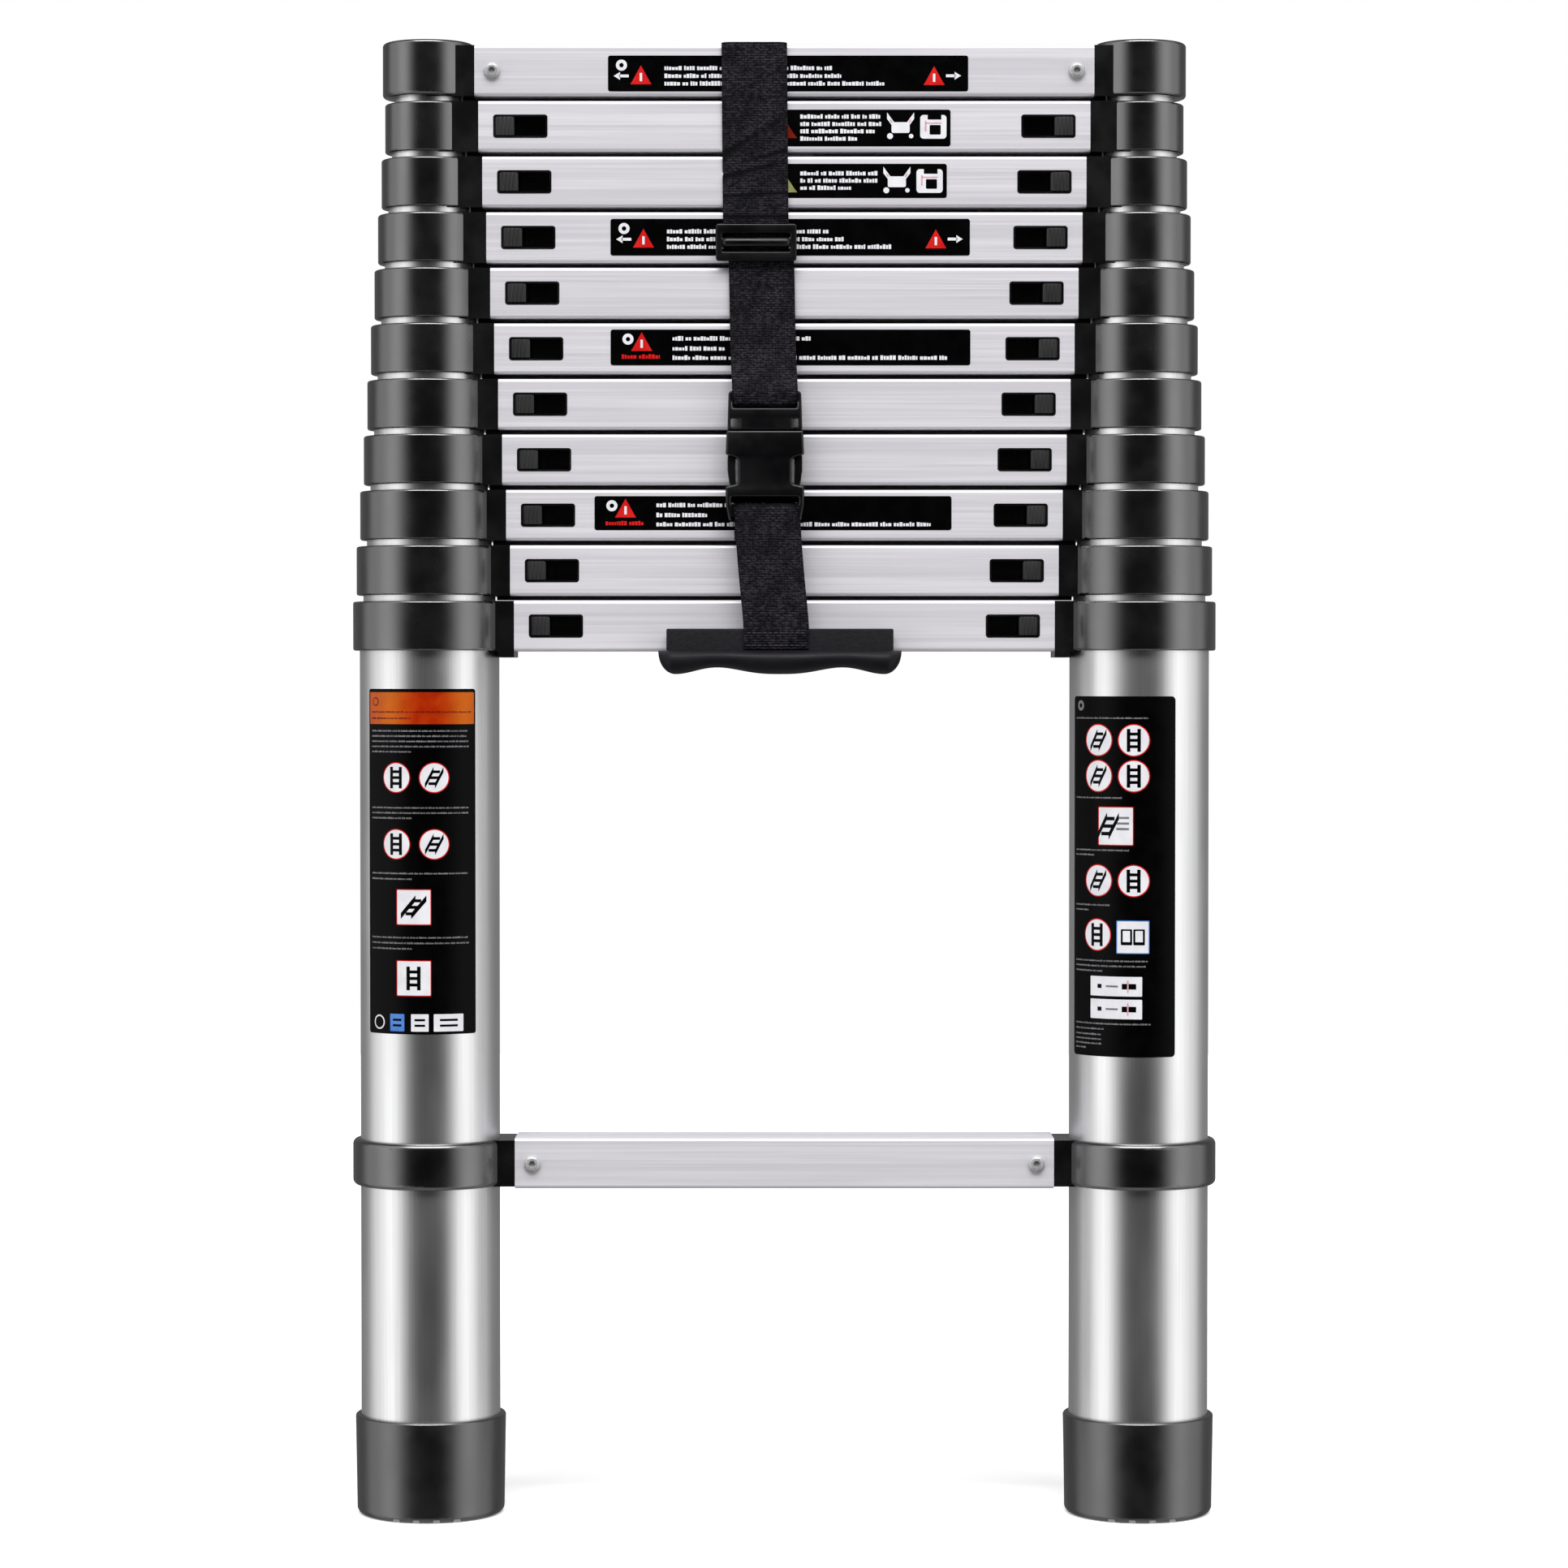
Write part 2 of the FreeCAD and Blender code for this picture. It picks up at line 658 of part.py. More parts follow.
def make_button(section):
    """The left thumb button of a rung with its lock pin, and its mirror image on the right."""
    name = f"lock_button_left_{section:02d}"
    half_tall = sizes.slot_tall * 0.5 - sizes.rung_clearance - sizes.bezel_wall - sizes.button_gap
    front = sizes.rung_depth * 0.5 + sizes.button_rise
    body = add_body(name + "_thumb_piece")
    face = add_sketch(body, "XZ_Plane", name + "_face", front)
    draw_rectangle(face, 0, sizes.button_length, -half_tall, half_tall)
    deep = front + sizes.chamber_back - sizes.button_gap
    block = pad(body, face, deep)
    block.Reversed = True
    front_y = -number(front)
    round_edges(
        body, block, sizes.button_edge,
        lambda edge: all(abs(v.Y - front_y) < 1e-6 for v in edge.Vertexes),
    )
    pin = doc.addObject("Part::Cylinder", name + "_pin")
    start = (
        arm_length(section) + sizes.slot_start + sizes.rung_clearance
        + sizes.bezel_wall + sizes.button_gap
    )
    pin_length = start - tube_radius(section - 1) - sizes.pin_tip_gap
    bind(pin, "Radius", sizes.pin_radius)
    bind(pin, "Height", pin_length)
    pin.Placement = Placement(Vector(0, 0, 0), Rotation(Vector(0, 1, 0), 90))
    put(pin, x=-pin_length)
    left = group(name, [body, pin])
    put(left, x=start - sizes.stile_offset, z=rung_height(section))
    return left, mirror(left, f"lock_button_right_{section:02d}")


def make_screw_pair(name, reach, height):
    """The two button-head screws of a rung."""
    body = add_body(name + "_left")
    profile = add_sketch(body, "XY_Plane", name + "_profile")
    draw_polygon(profile, [
        (0, sizes.screw_length),
        (0, -sizes.screw_head_tall),
        (sizes.screw_head_radius, -sizes.screw_head_tall),
        (sizes.screw_head_radius, 0),
        (sizes.screw_radius, 0),
        (sizes.screw_radius, sizes.screw_length),
    ])
    turned = revolve(body, profile)
    head_y = -number(sizes.screw_head_tall)
    round_edges(
        body, turned, sizes.screw_head_edge,
        lambda edge: is_ring(edge, sizes.screw_head_radius) and edge.BoundBox.YMax < head_y / 2,
    )
    socket = add_sketch(body, "XZ_Plane", name + "_socket", sizes.screw_head_tall + SLOT_CUT_MARGIN)
    corners = [math.radians(60 * i) for i in range(6)]
    draw_polygon(socket, [
        (sizes.screw_socket_radius * round(math.cos(a), 6),
         sizes.screw_socket_radius * round(math.sin(a), 6)) for a in corners
    ])
    pocket(body, socket, sizes.screw_socket_depth + SLOT_CUT_MARGIN)
    put(body, x=sizes.screw_inset - reach, y=sizes.rung_depth * -0.5, z=height)
    return group(name, [body, mirror(body, name + "_right")])


def make_feet():
    """The two rubber feet: tapered cups with grooves across their soles."""
    name = "stile_feet"
    body = add_body(name + "_left")
    bore = tube_radius(BASE) + sizes.foot_clearance
    profile = add_sketch(body, "XZ_Plane", name + "_profile")
    draw_polygon(profile, [
        (0, 0),
        (sizes.foot_bottom_radius, 0),
        (sizes.foot_top_radius, sizes.foot_tall),
        (bore, sizes.foot_tall),
        (bore, sizes.foot_floor),
        (0, sizes.foot_floor),
    ])
    cup = revolve(body, profile)
    sole = round_edges(
        body, cup, sizes.foot_bottom_edge, lambda edge: is_ring(edge, sizes.foot_bottom_radius)
    )
    round_edges(body, sole, sizes.foot_top_edge, lambda edge: is_ring(edge, sizes.foot_top_radius))
    reach = sizes.foot_top_radius + SLOT_CUT_MARGIN
    groove = add_sketch(body, "XZ_Plane", name + "_groove", reach)
    row_start = (sizes.foot_groove_count - 1) * sizes.foot_groove_pitch * -0.5
    half_wide = sizes.foot_groove_width * 0.5
    draw_rectangle(
        groove, row_start - half_wide, row_start + half_wide,
        sizes.foot_groove_depth * -1, sizes.foot_groove_depth,
    )
    cut = pocket(body, groove, 2 * reach)
    repeat_across(body, cut, groove, sizes.foot_groove_pitch, sizes.foot_groove_count)
    put(body, x=-sizes.stile_offset)
    return group(name, [body, mirror(body, name + "_right")])


def strap_front():
    """How far in front of the stile axes the strap's outside is."""
    return sizes.rung_depth * 0.5 + sizes.strap_gap + sizes.strap_thick


def make_webbing():
    """The strap: one closed loop of webbing, round the front, top, back and bottom of all the rungs."""
    name = "strap_webbing"
    body = add_body(name)
    inner_half_deep = strap_front() - sizes.strap_thick
    inner_top = rung_height(1) + sizes.rung_tall * 0.5 + sizes.strap_gap
    inner_bottom = rung_height(BASE) - sizes.rung_tall * 0.5 - sizes.strap_gap
    top = inner_top + sizes.strap_thick
    bottom = inner_bottom - sizes.strap_thick
    half_wide = sizes.strap_wide * 0.5
    outline = add_sketch(body, "XZ_Plane", name + "_outline", strap_front())
    draw_polygon(outline, [
        (sizes.strap_bottom_shift - half_wide, bottom),
        (sizes.strap_bottom_shift + half_wide, bottom),
        (sizes.strap_top_shift + half_wide, top),
        (sizes.strap_top_shift - half_wide, top),
    ])
    whole = pad(body, outline, 2 * strap_front())
    whole.Reversed = True
    inside = add_sketch(body, "YZ_Plane", name + "_inside", sizes.strap_wide * 2)
    draw_rectangle(inside, -inner_half_deep, inner_half_deep, inner_bottom, inner_top)
    pocket(body, inside, sizes.strap_wide * 4)
    return body


def pad_forward(body, name, start, deep, corners):
    """A plate with this front outline, which starts at this distance and grows to the front."""
    sketch = add_sketch(body, "XZ_Plane", name, start)
    draw_polygon(sketch, corners)
    return pad(body, sketch, deep)


def box_corners(left, right, low, high):
    return [(left, low), (right, low), (right, high), (left, high)]


def make_handle():
    """The carry handle: a plate that the strap holds, and the rounded grip below it."""
    name = "carry_handle"
    body = add_body(name)
    start = strap_front() + sizes.hardware_gap
    reach = sizes.handle_plate_reach
    plate_low = sizes.handle_seam - sizes.handle_edge
    pad_forward(
        body, name + "_plate", start, sizes.handle_plate_deep,
        box_corners(-reach, reach, plate_low, sizes.handle_top),
    )
    grip = add_sketch(body, "YZ_Plane", name + "_grip", -sizes.handle_grip_reach)
    draw_rounded_rectangle(
        grip, -start - sizes.handle_grip_deep, -start,
        sizes.handle_bottom, sizes.handle_seam, sizes.handle_edge,
    )
    pad(body, grip, 2 * sizes.handle_grip_reach)
    put(body, x=sizes.handle_shift)
    return body


def make_buckle():
    """The buckle's socket half, with side windows for the tongue's prongs, and the strap's adjuster."""
    name = "buckle_socket"
    body = add_body(name)
    start = strap_front() + sizes.hardware_gap
    reach = sizes.buckle_reach
    shell = pad_forward(
        body, name + "_shell", start, sizes.buckle_deep,
        box_corners(-reach, reach, sizes.buckle_bottom, sizes.buckle_top),
    )
    round_edges(
        body, shell, sizes.buckle_edge,
        lambda edge: runs_along(edge, Vector(0, 0, 1)) and edge.BoundBox.YMax < -number(start) - 1,
    )
    cavity_front = start + (sizes.buckle_deep + sizes.buckle_cavity_deep) * 0.5
    cavity_back = start + (sizes.buckle_deep - sizes.buckle_cavity_deep) * 0.5
    cavity = add_sketch(body, "XY_Plane", name + "_cavity", sizes.buckle_cavity_bottom)
    draw_rectangle(
        cavity, -sizes.buckle_cavity_reach, sizes.buckle_cavity_reach, -cavity_front, -cavity_back
    )
    pocket(body, cavity, sizes.buckle_top, along_normal=True)
    windows = add_sketch(body, "XZ_Plane", name + "_windows", start + sizes.buckle_deep + 1)
    low, high = sizes.buckle_window_bottom, sizes.buckle_window_top
    inner, outer = sizes.buckle_window_inner, sizes.buckle_reach + SLOT_CUT_MARGIN
    draw_polygon(windows, box_corners(inner, outer, low, high))
    draw_polygon(windows, box_corners(-outer, -inner, low, high))
    pocket(body, windows, sizes.buckle_deep + 2 * SLOT_CUT_MARGIN)
    put(body, x=sizes.buckle_shift)

    adjuster = add_body("strap_adjuster")
    half_tall = sizes.adjuster_half_tall
    middle = sizes.adjuster_middle
    pad_forward(
        adjuster, "strap_adjuster_frame", start, sizes.adjuster_deep,
        box_corners(
            -sizes.adjuster_reach, sizes.adjuster_reach, middle - half_tall, middle + half_tall
        ),
    )
    slots = add_sketch(
        adjuster, "XZ_Plane", "strap_adjuster_slots", start + sizes.adjuster_deep + 1
    )
    slot_reach = sizes.adjuster_slot_reach
    slot_in, slot_out = sizes.adjuster_slot_inner, sizes.adjuster_slot_outer
    draw_polygon(slots, box_corners(-slot_reach, slot_reach, middle + slot_in, middle + slot_out))
    draw_polygon(slots, box_corners(-slot_reach, slot_reach, middle - slot_out, middle - slot_in))
    pocket(adjuster, slots, sizes.adjuster_deep + 2 * SLOT_CUT_MARGIN)
    put(adjuster, x=sizes.adjuster_shift)
    return group("strap_buckle", [body, adjuster])


def make_buckle_tongue():
    """The buckle's other half: a bar for the strap, two spring prongs and a guide between them."""
    name = "buckle_tongue"
    body = add_body(name)
    gap = sizes.tongue_gap
    start = strap_front() + sizes.hardware_gap
    prong_start = start + (sizes.buckle_deep - sizes.buckle_cavity_deep) * 0.5 + gap
    prong_deep = sizes.buckle_cavity_deep - 2 * gap
    bar_low = sizes.buckle_top + gap
    bar = pad_forward(
        body, name + "_bar", start, sizes.buckle_deep,
        box_corners(-sizes.tongue_reach, sizes.tongue_reach, bar_low, sizes.tongue_top),
    )
    round_edges(
        body, bar, sizes.buckle_edge,
        lambda edge: runs_along(edge, Vector(0, 0, 1)) and edge.BoundBox.YMax < -number(start) - 1,
    )
    outer = sizes.buckle_cavity_reach - gap
    inner = outer - sizes.tongue_prong_wide
    low = sizes.tongue_prong_bottom
    guide = sizes.tongue_guide_reach
    for part_name, left, right, bottom in (
        ("_right_prong", inner, outer, low),
        ("_left_prong", -outer, -inner, low),
        ("_guide", -guide, guide, sizes.tongue_guide_bottom),
    ):
        corners = box_corners(left, right, bottom, bar_low)
        pad_forward(body, name + part_name, prong_start, prong_deep, corners)
    put(body, x=sizes.buckle_shift)
    return body


def make_all():
    """Every sub-part, by the name of its node."""
    made = []
    for section in range(1, SECTION_COUNT + 1):
        made.append(make_tubes(section))
        made.append(make_collar_set(section))
        if section != BASE:
            name = f"rung_{section:02d}"
            slotted = section in LOCKING_SECTIONS
            made.append(make_rung(name, rung_reach(section), rung_height(section), slotted))
        if section in LOCKING_SECTIONS:
            made.extend(make_button(section))
    base_rungs = [
        make_rung("base_rung", rung_reach(BASE), rung_height(BASE), True),
        make_rung("lowest_rung", rung_reach(BASE), sizes.lowest_rung_height, False),
    ]
    made.append(group("base_rungs", base_rungs))
    made.append(make_screw_pair("top_rung_screws", rung_reach(1), rung_height(1)))
    made.append(
        make_screw_pair("lowest_rung_screws", rung_reach(BASE), sizes.lowest_rung_height)
    )
    made.append(make_feet())
    made.append(make_webbing())
    made.append(make_handle())
    made.append(make_buckle())
    made.append(make_buckle_tongue())
    return made


def check_and_write(parts):
    doc.recompute()
    failed = [o.Name for o in doc.Objects if "Invalid" in o.State or "Error" in o.State]
    bad_shapes = [p.Label for p in parts if p.Shape.isNull() or not p.Shape.isValid()]
    if failed or bad_shapes:
        raise RuntimeError(f"failed objects {failed}, bad shapes {bad_shapes}")
    os.makedirs("parts", exist_ok=True)
    for part in parts:
        part.Shape.exportStep(os.path.join("parts", part.Label + ".step"))


fill_sheet()
check_and_write(make_all())
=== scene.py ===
import math
import random

import bmesh
import bpy
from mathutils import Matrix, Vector, noise


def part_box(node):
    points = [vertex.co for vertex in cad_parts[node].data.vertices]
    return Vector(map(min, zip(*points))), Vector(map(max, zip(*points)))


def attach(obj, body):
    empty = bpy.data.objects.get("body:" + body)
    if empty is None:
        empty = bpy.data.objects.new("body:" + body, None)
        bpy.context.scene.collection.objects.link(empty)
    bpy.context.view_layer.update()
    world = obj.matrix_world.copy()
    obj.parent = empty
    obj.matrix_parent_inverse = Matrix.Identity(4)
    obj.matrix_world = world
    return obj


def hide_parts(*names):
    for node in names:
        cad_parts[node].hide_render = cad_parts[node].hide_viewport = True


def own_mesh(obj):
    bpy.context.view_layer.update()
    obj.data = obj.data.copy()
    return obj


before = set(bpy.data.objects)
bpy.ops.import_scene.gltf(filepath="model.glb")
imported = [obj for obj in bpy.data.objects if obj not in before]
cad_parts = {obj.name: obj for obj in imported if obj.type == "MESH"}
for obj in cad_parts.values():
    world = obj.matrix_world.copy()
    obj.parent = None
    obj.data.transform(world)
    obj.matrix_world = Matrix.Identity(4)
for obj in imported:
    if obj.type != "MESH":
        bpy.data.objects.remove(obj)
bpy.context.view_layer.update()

# A telescopic extension ladder, stored closed, with a strap, a buckle and a carry handle round its
# rungs. Metres, in the CAD model's frame: the ladder's front faces -Y and +Z is up. Only the shapes of
# labels and slabs are given in millimetres. The tubes, collars, rungs, feet and screws are the CAD
# model's own meshes with new materials. The soft and detailed pieces are built here.

MM = 0.001
SECTION_COUNT = 11
BASE_BODY = "base"
TOP_BODY = "section_01"
# Name of the webbing's point attribute that holds painted light and shade on its folds.
FOLD_SHADE = "fold"


def body_of_section(section):
    return BASE_BODY if section == SECTION_COUNT else f"section_{section:02d}"


# ---------------------------------------------------------------- materials


class Nodes:
    """A node tree that nodes are added to one by one."""

    def __init__(self, owner):
        owner.use_nodes = True
        self.tree = owner.node_tree

    def add(self, kind, inputs, output, **settings):
        """A new node's output socket. An input is a number or colour, or another node's output."""
        node = self.tree.nodes.new("ShaderNode" + kind)
        for setting, value in settings.items():
            setattr(node, setting, value)
        for socket, value in inputs.items():
            self.feed(node.inputs[socket], value)
        return node.outputs[output]

    def feed(self, socket, value):
        if isinstance(value, bpy.types.NodeSocket):
            self.tree.links.new(value, socket)
        else:
            socket.default_value = value

    def span(self, value, low, high, start=0.3, end=0.7):
        """The value's range start to end, spread softly from low to high."""
        inputs = {
            "Value": value, "From Min": start, "From Max": end, "To Min": low, "To Max": high,
        }
        return self.add("MapRange", inputs, "Result", interpolation_type="SMOOTHSTEP")

    def math(self, operation, first, second):
        return self.add("Math", {0: first, 1: second}, "Value", operation=operation)


class Finish(Nodes):
    """A procedural material: one Principled shader, and the texture nodes that feed it."""

    def __init__(self, name, **constants):
        self.material = bpy.data.materials.new(name)
        super().__init__(self.material)
        self.shader = self.tree.nodes["Principled BSDF"]
        for socket, value in constants.items():
            self.shader.inputs[socket.replace("_", " ")].default_value = value

    def place(self, stretch=(1, 1, 1), source="Object"):
        """Texture coordinates in millimetres, each multiplied by its share of stretch."""
        where = self.add("TexCoord", {}, source)
        unit = 1 if source == "UV" else 1 / MM
        scale = tuple(unit * share for share in stretch)
        return self.add("Mapping", {"Vector": where, "Scale": scale}, "Vector")

    def cloud(self, where, scale, detail=2.0, rough=0.5):
        """Noise from 0 to 1 with about this many waves in each unit of the coordinates."""
        inputs = {"Vector": where, "Scale": scale, "Detail": detail, "Roughness": rough}
        return self.add("TexNoise", inputs, "Fac")

    def colour(self, share, first, second):
        """Colours the surface between two colours by a share from 0 to 1."""
        mix = self.tree.nodes.new("ShaderNodeMix")
        mix.data_type = "RGBA"
        self.feed(mix.inputs[0], share)
        mix.inputs[6].default_value = (*first, 1)
        mix.inputs[7].default_value = (*second, 1)
        self.feed(self.shader.inputs["Base Color"], mix.outputs[2])

    def roughness(self, share, low, high):
        self.feed(self.shader.inputs["Roughness"], self.span(share, low, high))

    def bump(self, height, depth, strength=1.0):
        """Raises the surface by height, from 0 to 1, times depth in millimetres."""
        inputs = {"Height": height, "Distance": depth * MM, "Strength": strength}
        normal = self.shader.inputs["Normal"]
        if normal.is_linked:
            inputs["Normal"] = normal.links[0].from_socket
        self.feed(normal, self.add("Bump", inputs, "Normal"))


def tube_aluminium():
    """Satin anodised tube: fine lines along its length and faint cloudy wear."""
    made = Finish("tube_aluminium", Metallic=1.0)
    lines = made.cloud(made.place((1, 1, 0.004)), 2.2, 3.0, 0.6)
    wear = made.cloud(made.place((1, 1, 0.35)), 0.03, 3.0)
    made.colour(made.span(lines, 0, 1, 0.25, 0.75), (0.64, 0.64, 0.645), (0.74, 0.74, 0.745))
    made.roughness(wear, 0.33, 0.38)
    made.bump(lines, 0.004)
    return made.material


def rung_aluminium():
    """Pale matt anodised rung, drawn along its length."""
    made = Finish("rung_aluminium", Metallic=0.25)
    lines = made.cloud(made.place((0.006, 0.6, 1)), 1.1, 4.0, 0.6)
    broad = made.cloud(made.place((0.003, 0.2, 1)), 0.12, 2.0)
    both = made.math("MULTIPLY", lines, broad)
    made.colour(made.span(both, 0, 1, 0.12, 0.42), (0.63, 0.615, 0.655), (0.74, 0.725, 0.765))
    made.roughness(lines, 0.38, 0.5)
    made.bump(lines, 0.006)
    return made.material


def moulded_plastic(name, shade, low, high, grain=0.01, grain_scale=3.0, shine=0.5):
    """Black moulded plastic: a fine spark-eroded grain and slightly uneven gloss."""
    made = Finish(name, IOR=1.72, Specular_IOR_Level=shine)
    speck = made.cloud(made.place(), grain_scale, 2.0)
    patch = made.cloud(made.place(), 0.05, 3.0)
    lighter = tuple(channel * 1.7 for channel in shade)
    made.colour(made.span(patch, 0, 1), shade, lighter)
    made.roughness(patch, low, high)
    made.bump(speck, grain)
    return made.material


def screw_steel():
    """Zinc-plated steel with a dull satin."""
    made = Finish("screw_steel", Metallic=0.35)
    speck = made.cloud(made.place(), 1.5, 2.0)
    made.colour(made.span(speck, 0, 1), (0.38, 0.38, 0.39), (0.5, 0.5, 0.5))
    made.roughness(speck, 0.3, 0.42)
    made.bump(speck, 0.01)
    return made.material


def webbing():
    """Woven black webbing. Its UV map is in millimetres: across the strap, then along it.

    Its fold attribute is painted light and shade: 0.5 on flat webbing, more where a fold faces up and
    less where it faces down.
    """
    made = Finish("webbing", Sheen_Weight=0.015, Sheen_Roughness=0.4, Specular_IOR_Level=0.05)
    where = made.place(source="UV")
    cells = {
        "Vector": where, "Scale": 1.0, "Mortar Size": 0.3, "Mortar Smooth": 1.0,
        "Brick Width": 3.4, "Row Height": 1.35, "Bias": 0.0,
    }
    gaps = made.add("TexBrick", cells, "Fac", offset=0.5)
    floats = made.math("SUBTRACT", 1.0, gaps)
    specks = made.cloud(made.place((0.55, 1.0, 1), "UV"), 0.75, 2.0, 0.6)
    patch = made.cloud(where, 0.08, 4.0, 0.7)
    worn = made.math(
        "MULTIPLY", made.span(specks, 0.2, 1.15, 0.38, 0.64), made.span(patch, 0.4, 1.1, 0.35, 0.65)
    )
    raised = made.math("MULTIPLY", made.span(floats, 0.25, 1, 0.1, 0.8), worn)
    # Painted light and shade: the fold attribute makes the colour lighter where a fold faces up and
    # darker where it faces down.
    fold = made.add("Attribute", {}, "Fac", attribute_name=FOLD_SHADE)
    lit = made.math("MULTIPLY", raised, made.math("MULTIPLY", fold, 2.0))
    made.colour(lit, (0.0004, 0.0004, 0.0005), (0.031, 0.0275, 0.035))
    made.roughness(specks, 0.6, 0.85)
    made.bump(floats, 0.35, 0.9)
    made.bump(specks, 0.2)
    return made.material


def nylon_plate():
    """The handle's plate: coarse nylon cloth, slightly blue."""
    made = Finish("nylon_plate", Sheen_Weight=0.04, Sheen_Roughness=0.5, Specular_IOR_Level=0.3)
    where = made.place((1, 0.5, 1.6))
    speck = made.cloud(where, 0.45, 3.0, 0.7)
    made.colour(made.span(speck, 0, 1, 0.35, 0.7), (0.0003, 0.0003, 0.0007), (0.006, 0.0057, 0.0098))
    made.roughness(speck, 0.6, 0.8)
    made.bump(speck, 0.25)
    return made.material


def vinyl(name, first, second, low=0.36, high=0.42, **constants):
    """A printed ink on vinyl film, faintly uneven."""
    made = Finish(name, **(constants or {"Specular_IOR_Level": 0.15}))
    patch = made.cloud(made.place(), 0.12, 3.0)
    made.colour(made.span(patch, 0, 1), first, second)
    made.roughness(patch, low, high)
    made.bump(patch, 0.01)
    return made.material


TUBE = tube_aluminium()
RUNG = rung_aluminium()
STEEL = screw_steel()
COLLAR = moulded_plastic("collar_plastic", (0.0006, 0.0006, 0.0007), 0.22, 0.28, shine=1.0)
RUBBER = moulded_plastic("foot_rubber", (0.0012, 0.0012, 0.0013), 0.28, 0.35, 0.02, 1.5, shine=0.85)
BUTTON = moulded_plastic("button_plastic", (0.006, 0.006, 0.0062), 0.4, 0.5, shine=0.3)
BUCKLE = moulded_plastic("buckle_plastic", (0.0008, 0.0008, 0.0012), 0.28, 0.4, 0.02, 1.2, shine=0.2)
GRIP = moulded_plastic("grip_rubber", (0.0022, 0.0022, 0.0036), 0.5, 0.62, 0.06, 0.9, shine=0.11)
WEBBING = webbing()
PLATE = nylon_plate()
THREAD = vinyl("stitching_thread", (0.02, 0.02, 0.022), (0.045, 0.045, 0.05), 0.6, 0.7)

NODE_MATERIALS = {
    "stile_tubes": TUBE,
    "rung": RUNG,
    "base_rungs": RUNG,
    "top_caps_and_bushes": COLLAR,
    "collars_and_bushes": COLLAR,
    "base_collars_and_clamps": COLLAR,
    "stile_feet": RUBBER,
    "top_rung_screws": STEEL,
    "lowest_rung_screws": STEEL,
}


def finish_cad_nodes():
    """Gives each CAD node that stays its material, found by the start of the node's name."""
    for name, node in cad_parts.items():
        for start, material in NODE_MATERIALS.items():
            if name.startswith(start):
                node.data.materials.clear()
                node.data.materials.append(material)


# ---------------------------------------------------------------- mesh helpers


def new_object(name, data):
    made = bpy.data.objects.new(name, data)
    bpy.context.scene.collection.objects.link(made)
    return made


def new_piece(name, mesh, body, replaces=()):
    """An object of the ladder that rides on a body."""
    piece = new_object(name, mesh)
    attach(piece, body)
    if replaces:
        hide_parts(*replaces)
    return piece


def finished_mesh(thing):
    """The mesh that an object comes to with its modifiers, or its curve settings, applied."""
    bpy.context.view_layer.update()
    graph = bpy.context.evaluated_depsgraph_get()
    return bpy.data.meshes.new_from_object(thing.evaluated_get(graph))


def mesh_of(name, vertices, faces, material):
    mesh = bpy.data.meshes.new(name)
    mesh.from_pydata(vertices, [], faces)
    mesh.materials.append(material)
    return mesh


def slab(name, outlines, centre, deep, edge, material):
    """A plate facing -Y with these outlines, the later ones holes, and rounded edges.

    An outline is a list of (x, z, corner radius) from the centre. All but the centre is in millimetres.
    """
    curve = bpy.data.curves.new(name, "CURVE")
    curve.dimensions = "2D"
    curve.fill_mode = "BOTH"
    curve.extrude = (deep / 2 - edge) * MM
    curve.bevel_depth = edge * MM
    curve.bevel_resolution = 3
    curve.offset = -edge * MM
    for outline in outlines:
        points = rounded_corners([tuple(size * MM for size in corner) for corner in outline])
        spline = curve.splines.new("POLY")
        spline.points.add(len(points) - 1)
        for point, (x, z) in zip(spline.points, points):
            point.co = (x, z, 0, 1)
        spline.use_cyclic_u = True
    holder = new_object(name, curve)
    mesh = finished_mesh(holder)
    bpy.data.objects.remove(holder)
    bpy.data.curves.remove(curve)
    for vertex in mesh.vertices:
        x, z, y = vertex.co
        vertex.co = (centre[0] + x, centre[1] - y, centre[2] + z)
    weld(mesh)
    mesh.materials.clear()
    mesh.materials.append(material)
    mesh.name = name
    return mesh


def weld(mesh, shade_angle=35):
    """Joins points that lie together, points every face outwards and shades smooth up to an angle."""
    work = bmesh.new()
    work.from_mesh(mesh)
    bmesh.ops.remove_doubles(work, verts=work.verts, dist=1e-6)
    bmesh.ops.recalc_face_normals(work, faces=work.faces)
    for face in work.faces:
        face.smooth = True
    for edge in work.edges:
        edge.smooth = edge.is_manifold and edge.calc_face_angle() < math.radians(shade_angle)
    work.to_mesh(mesh)
    work.free()


def rounded_corners(outline, steps=6):
    """The outline's points, each corner of some radius turned into an arc."""
    points = []
    count = len(outline)
    for i, (x, z, radius) in enumerate(outline):
        here = Vector((x, z))
        if radius == 0:
            points.append((x, z))
            continue
        before = (Vector(outline[i - 1][:2]) - here).normalized()
        after = (Vector(outline[(i + 1) % count][:2]) - here).normalized()
        half_angle = before.angle(after) / 2
        middle = here + (before + after).normalized() * (radius / math.sin(half_angle))
        first = here + before * (radius / math.tan(half_angle)) - middle
        turn = first.angle_signed(here + after * (radius / math.tan(half_angle)) - middle)
        for step in range(steps + 1):
            angle = -turn * step / steps
            spun = Vector((
                first.x * math.cos(angle) - first.y * math.sin(angle),
                first.x * math.sin(angle) + first.y * math.cos(angle),
            ))
            points.append(tuple(middle + spun))
    return points


def rectangle(left, right, low, high, corner=0):
    return [(left, low, corner), (right, low, corner), (right, high, corner), (left, high, corner)]


def mirrored(outline):
    """A right half's outline, and then the same on the left, back to where it began."""
    return outline + [(-x, z, corner) for x, z, corner in reversed(outline)]


def round_ring(x, y, z, radius, count):
    """Points on a circle about a line along X."""
    angles = [2 * math.pi * j / count for j in range(count)]
    return [(x, y + radius * math.cos(angle), z + radius * math.sin(angle)) for angle in angles]


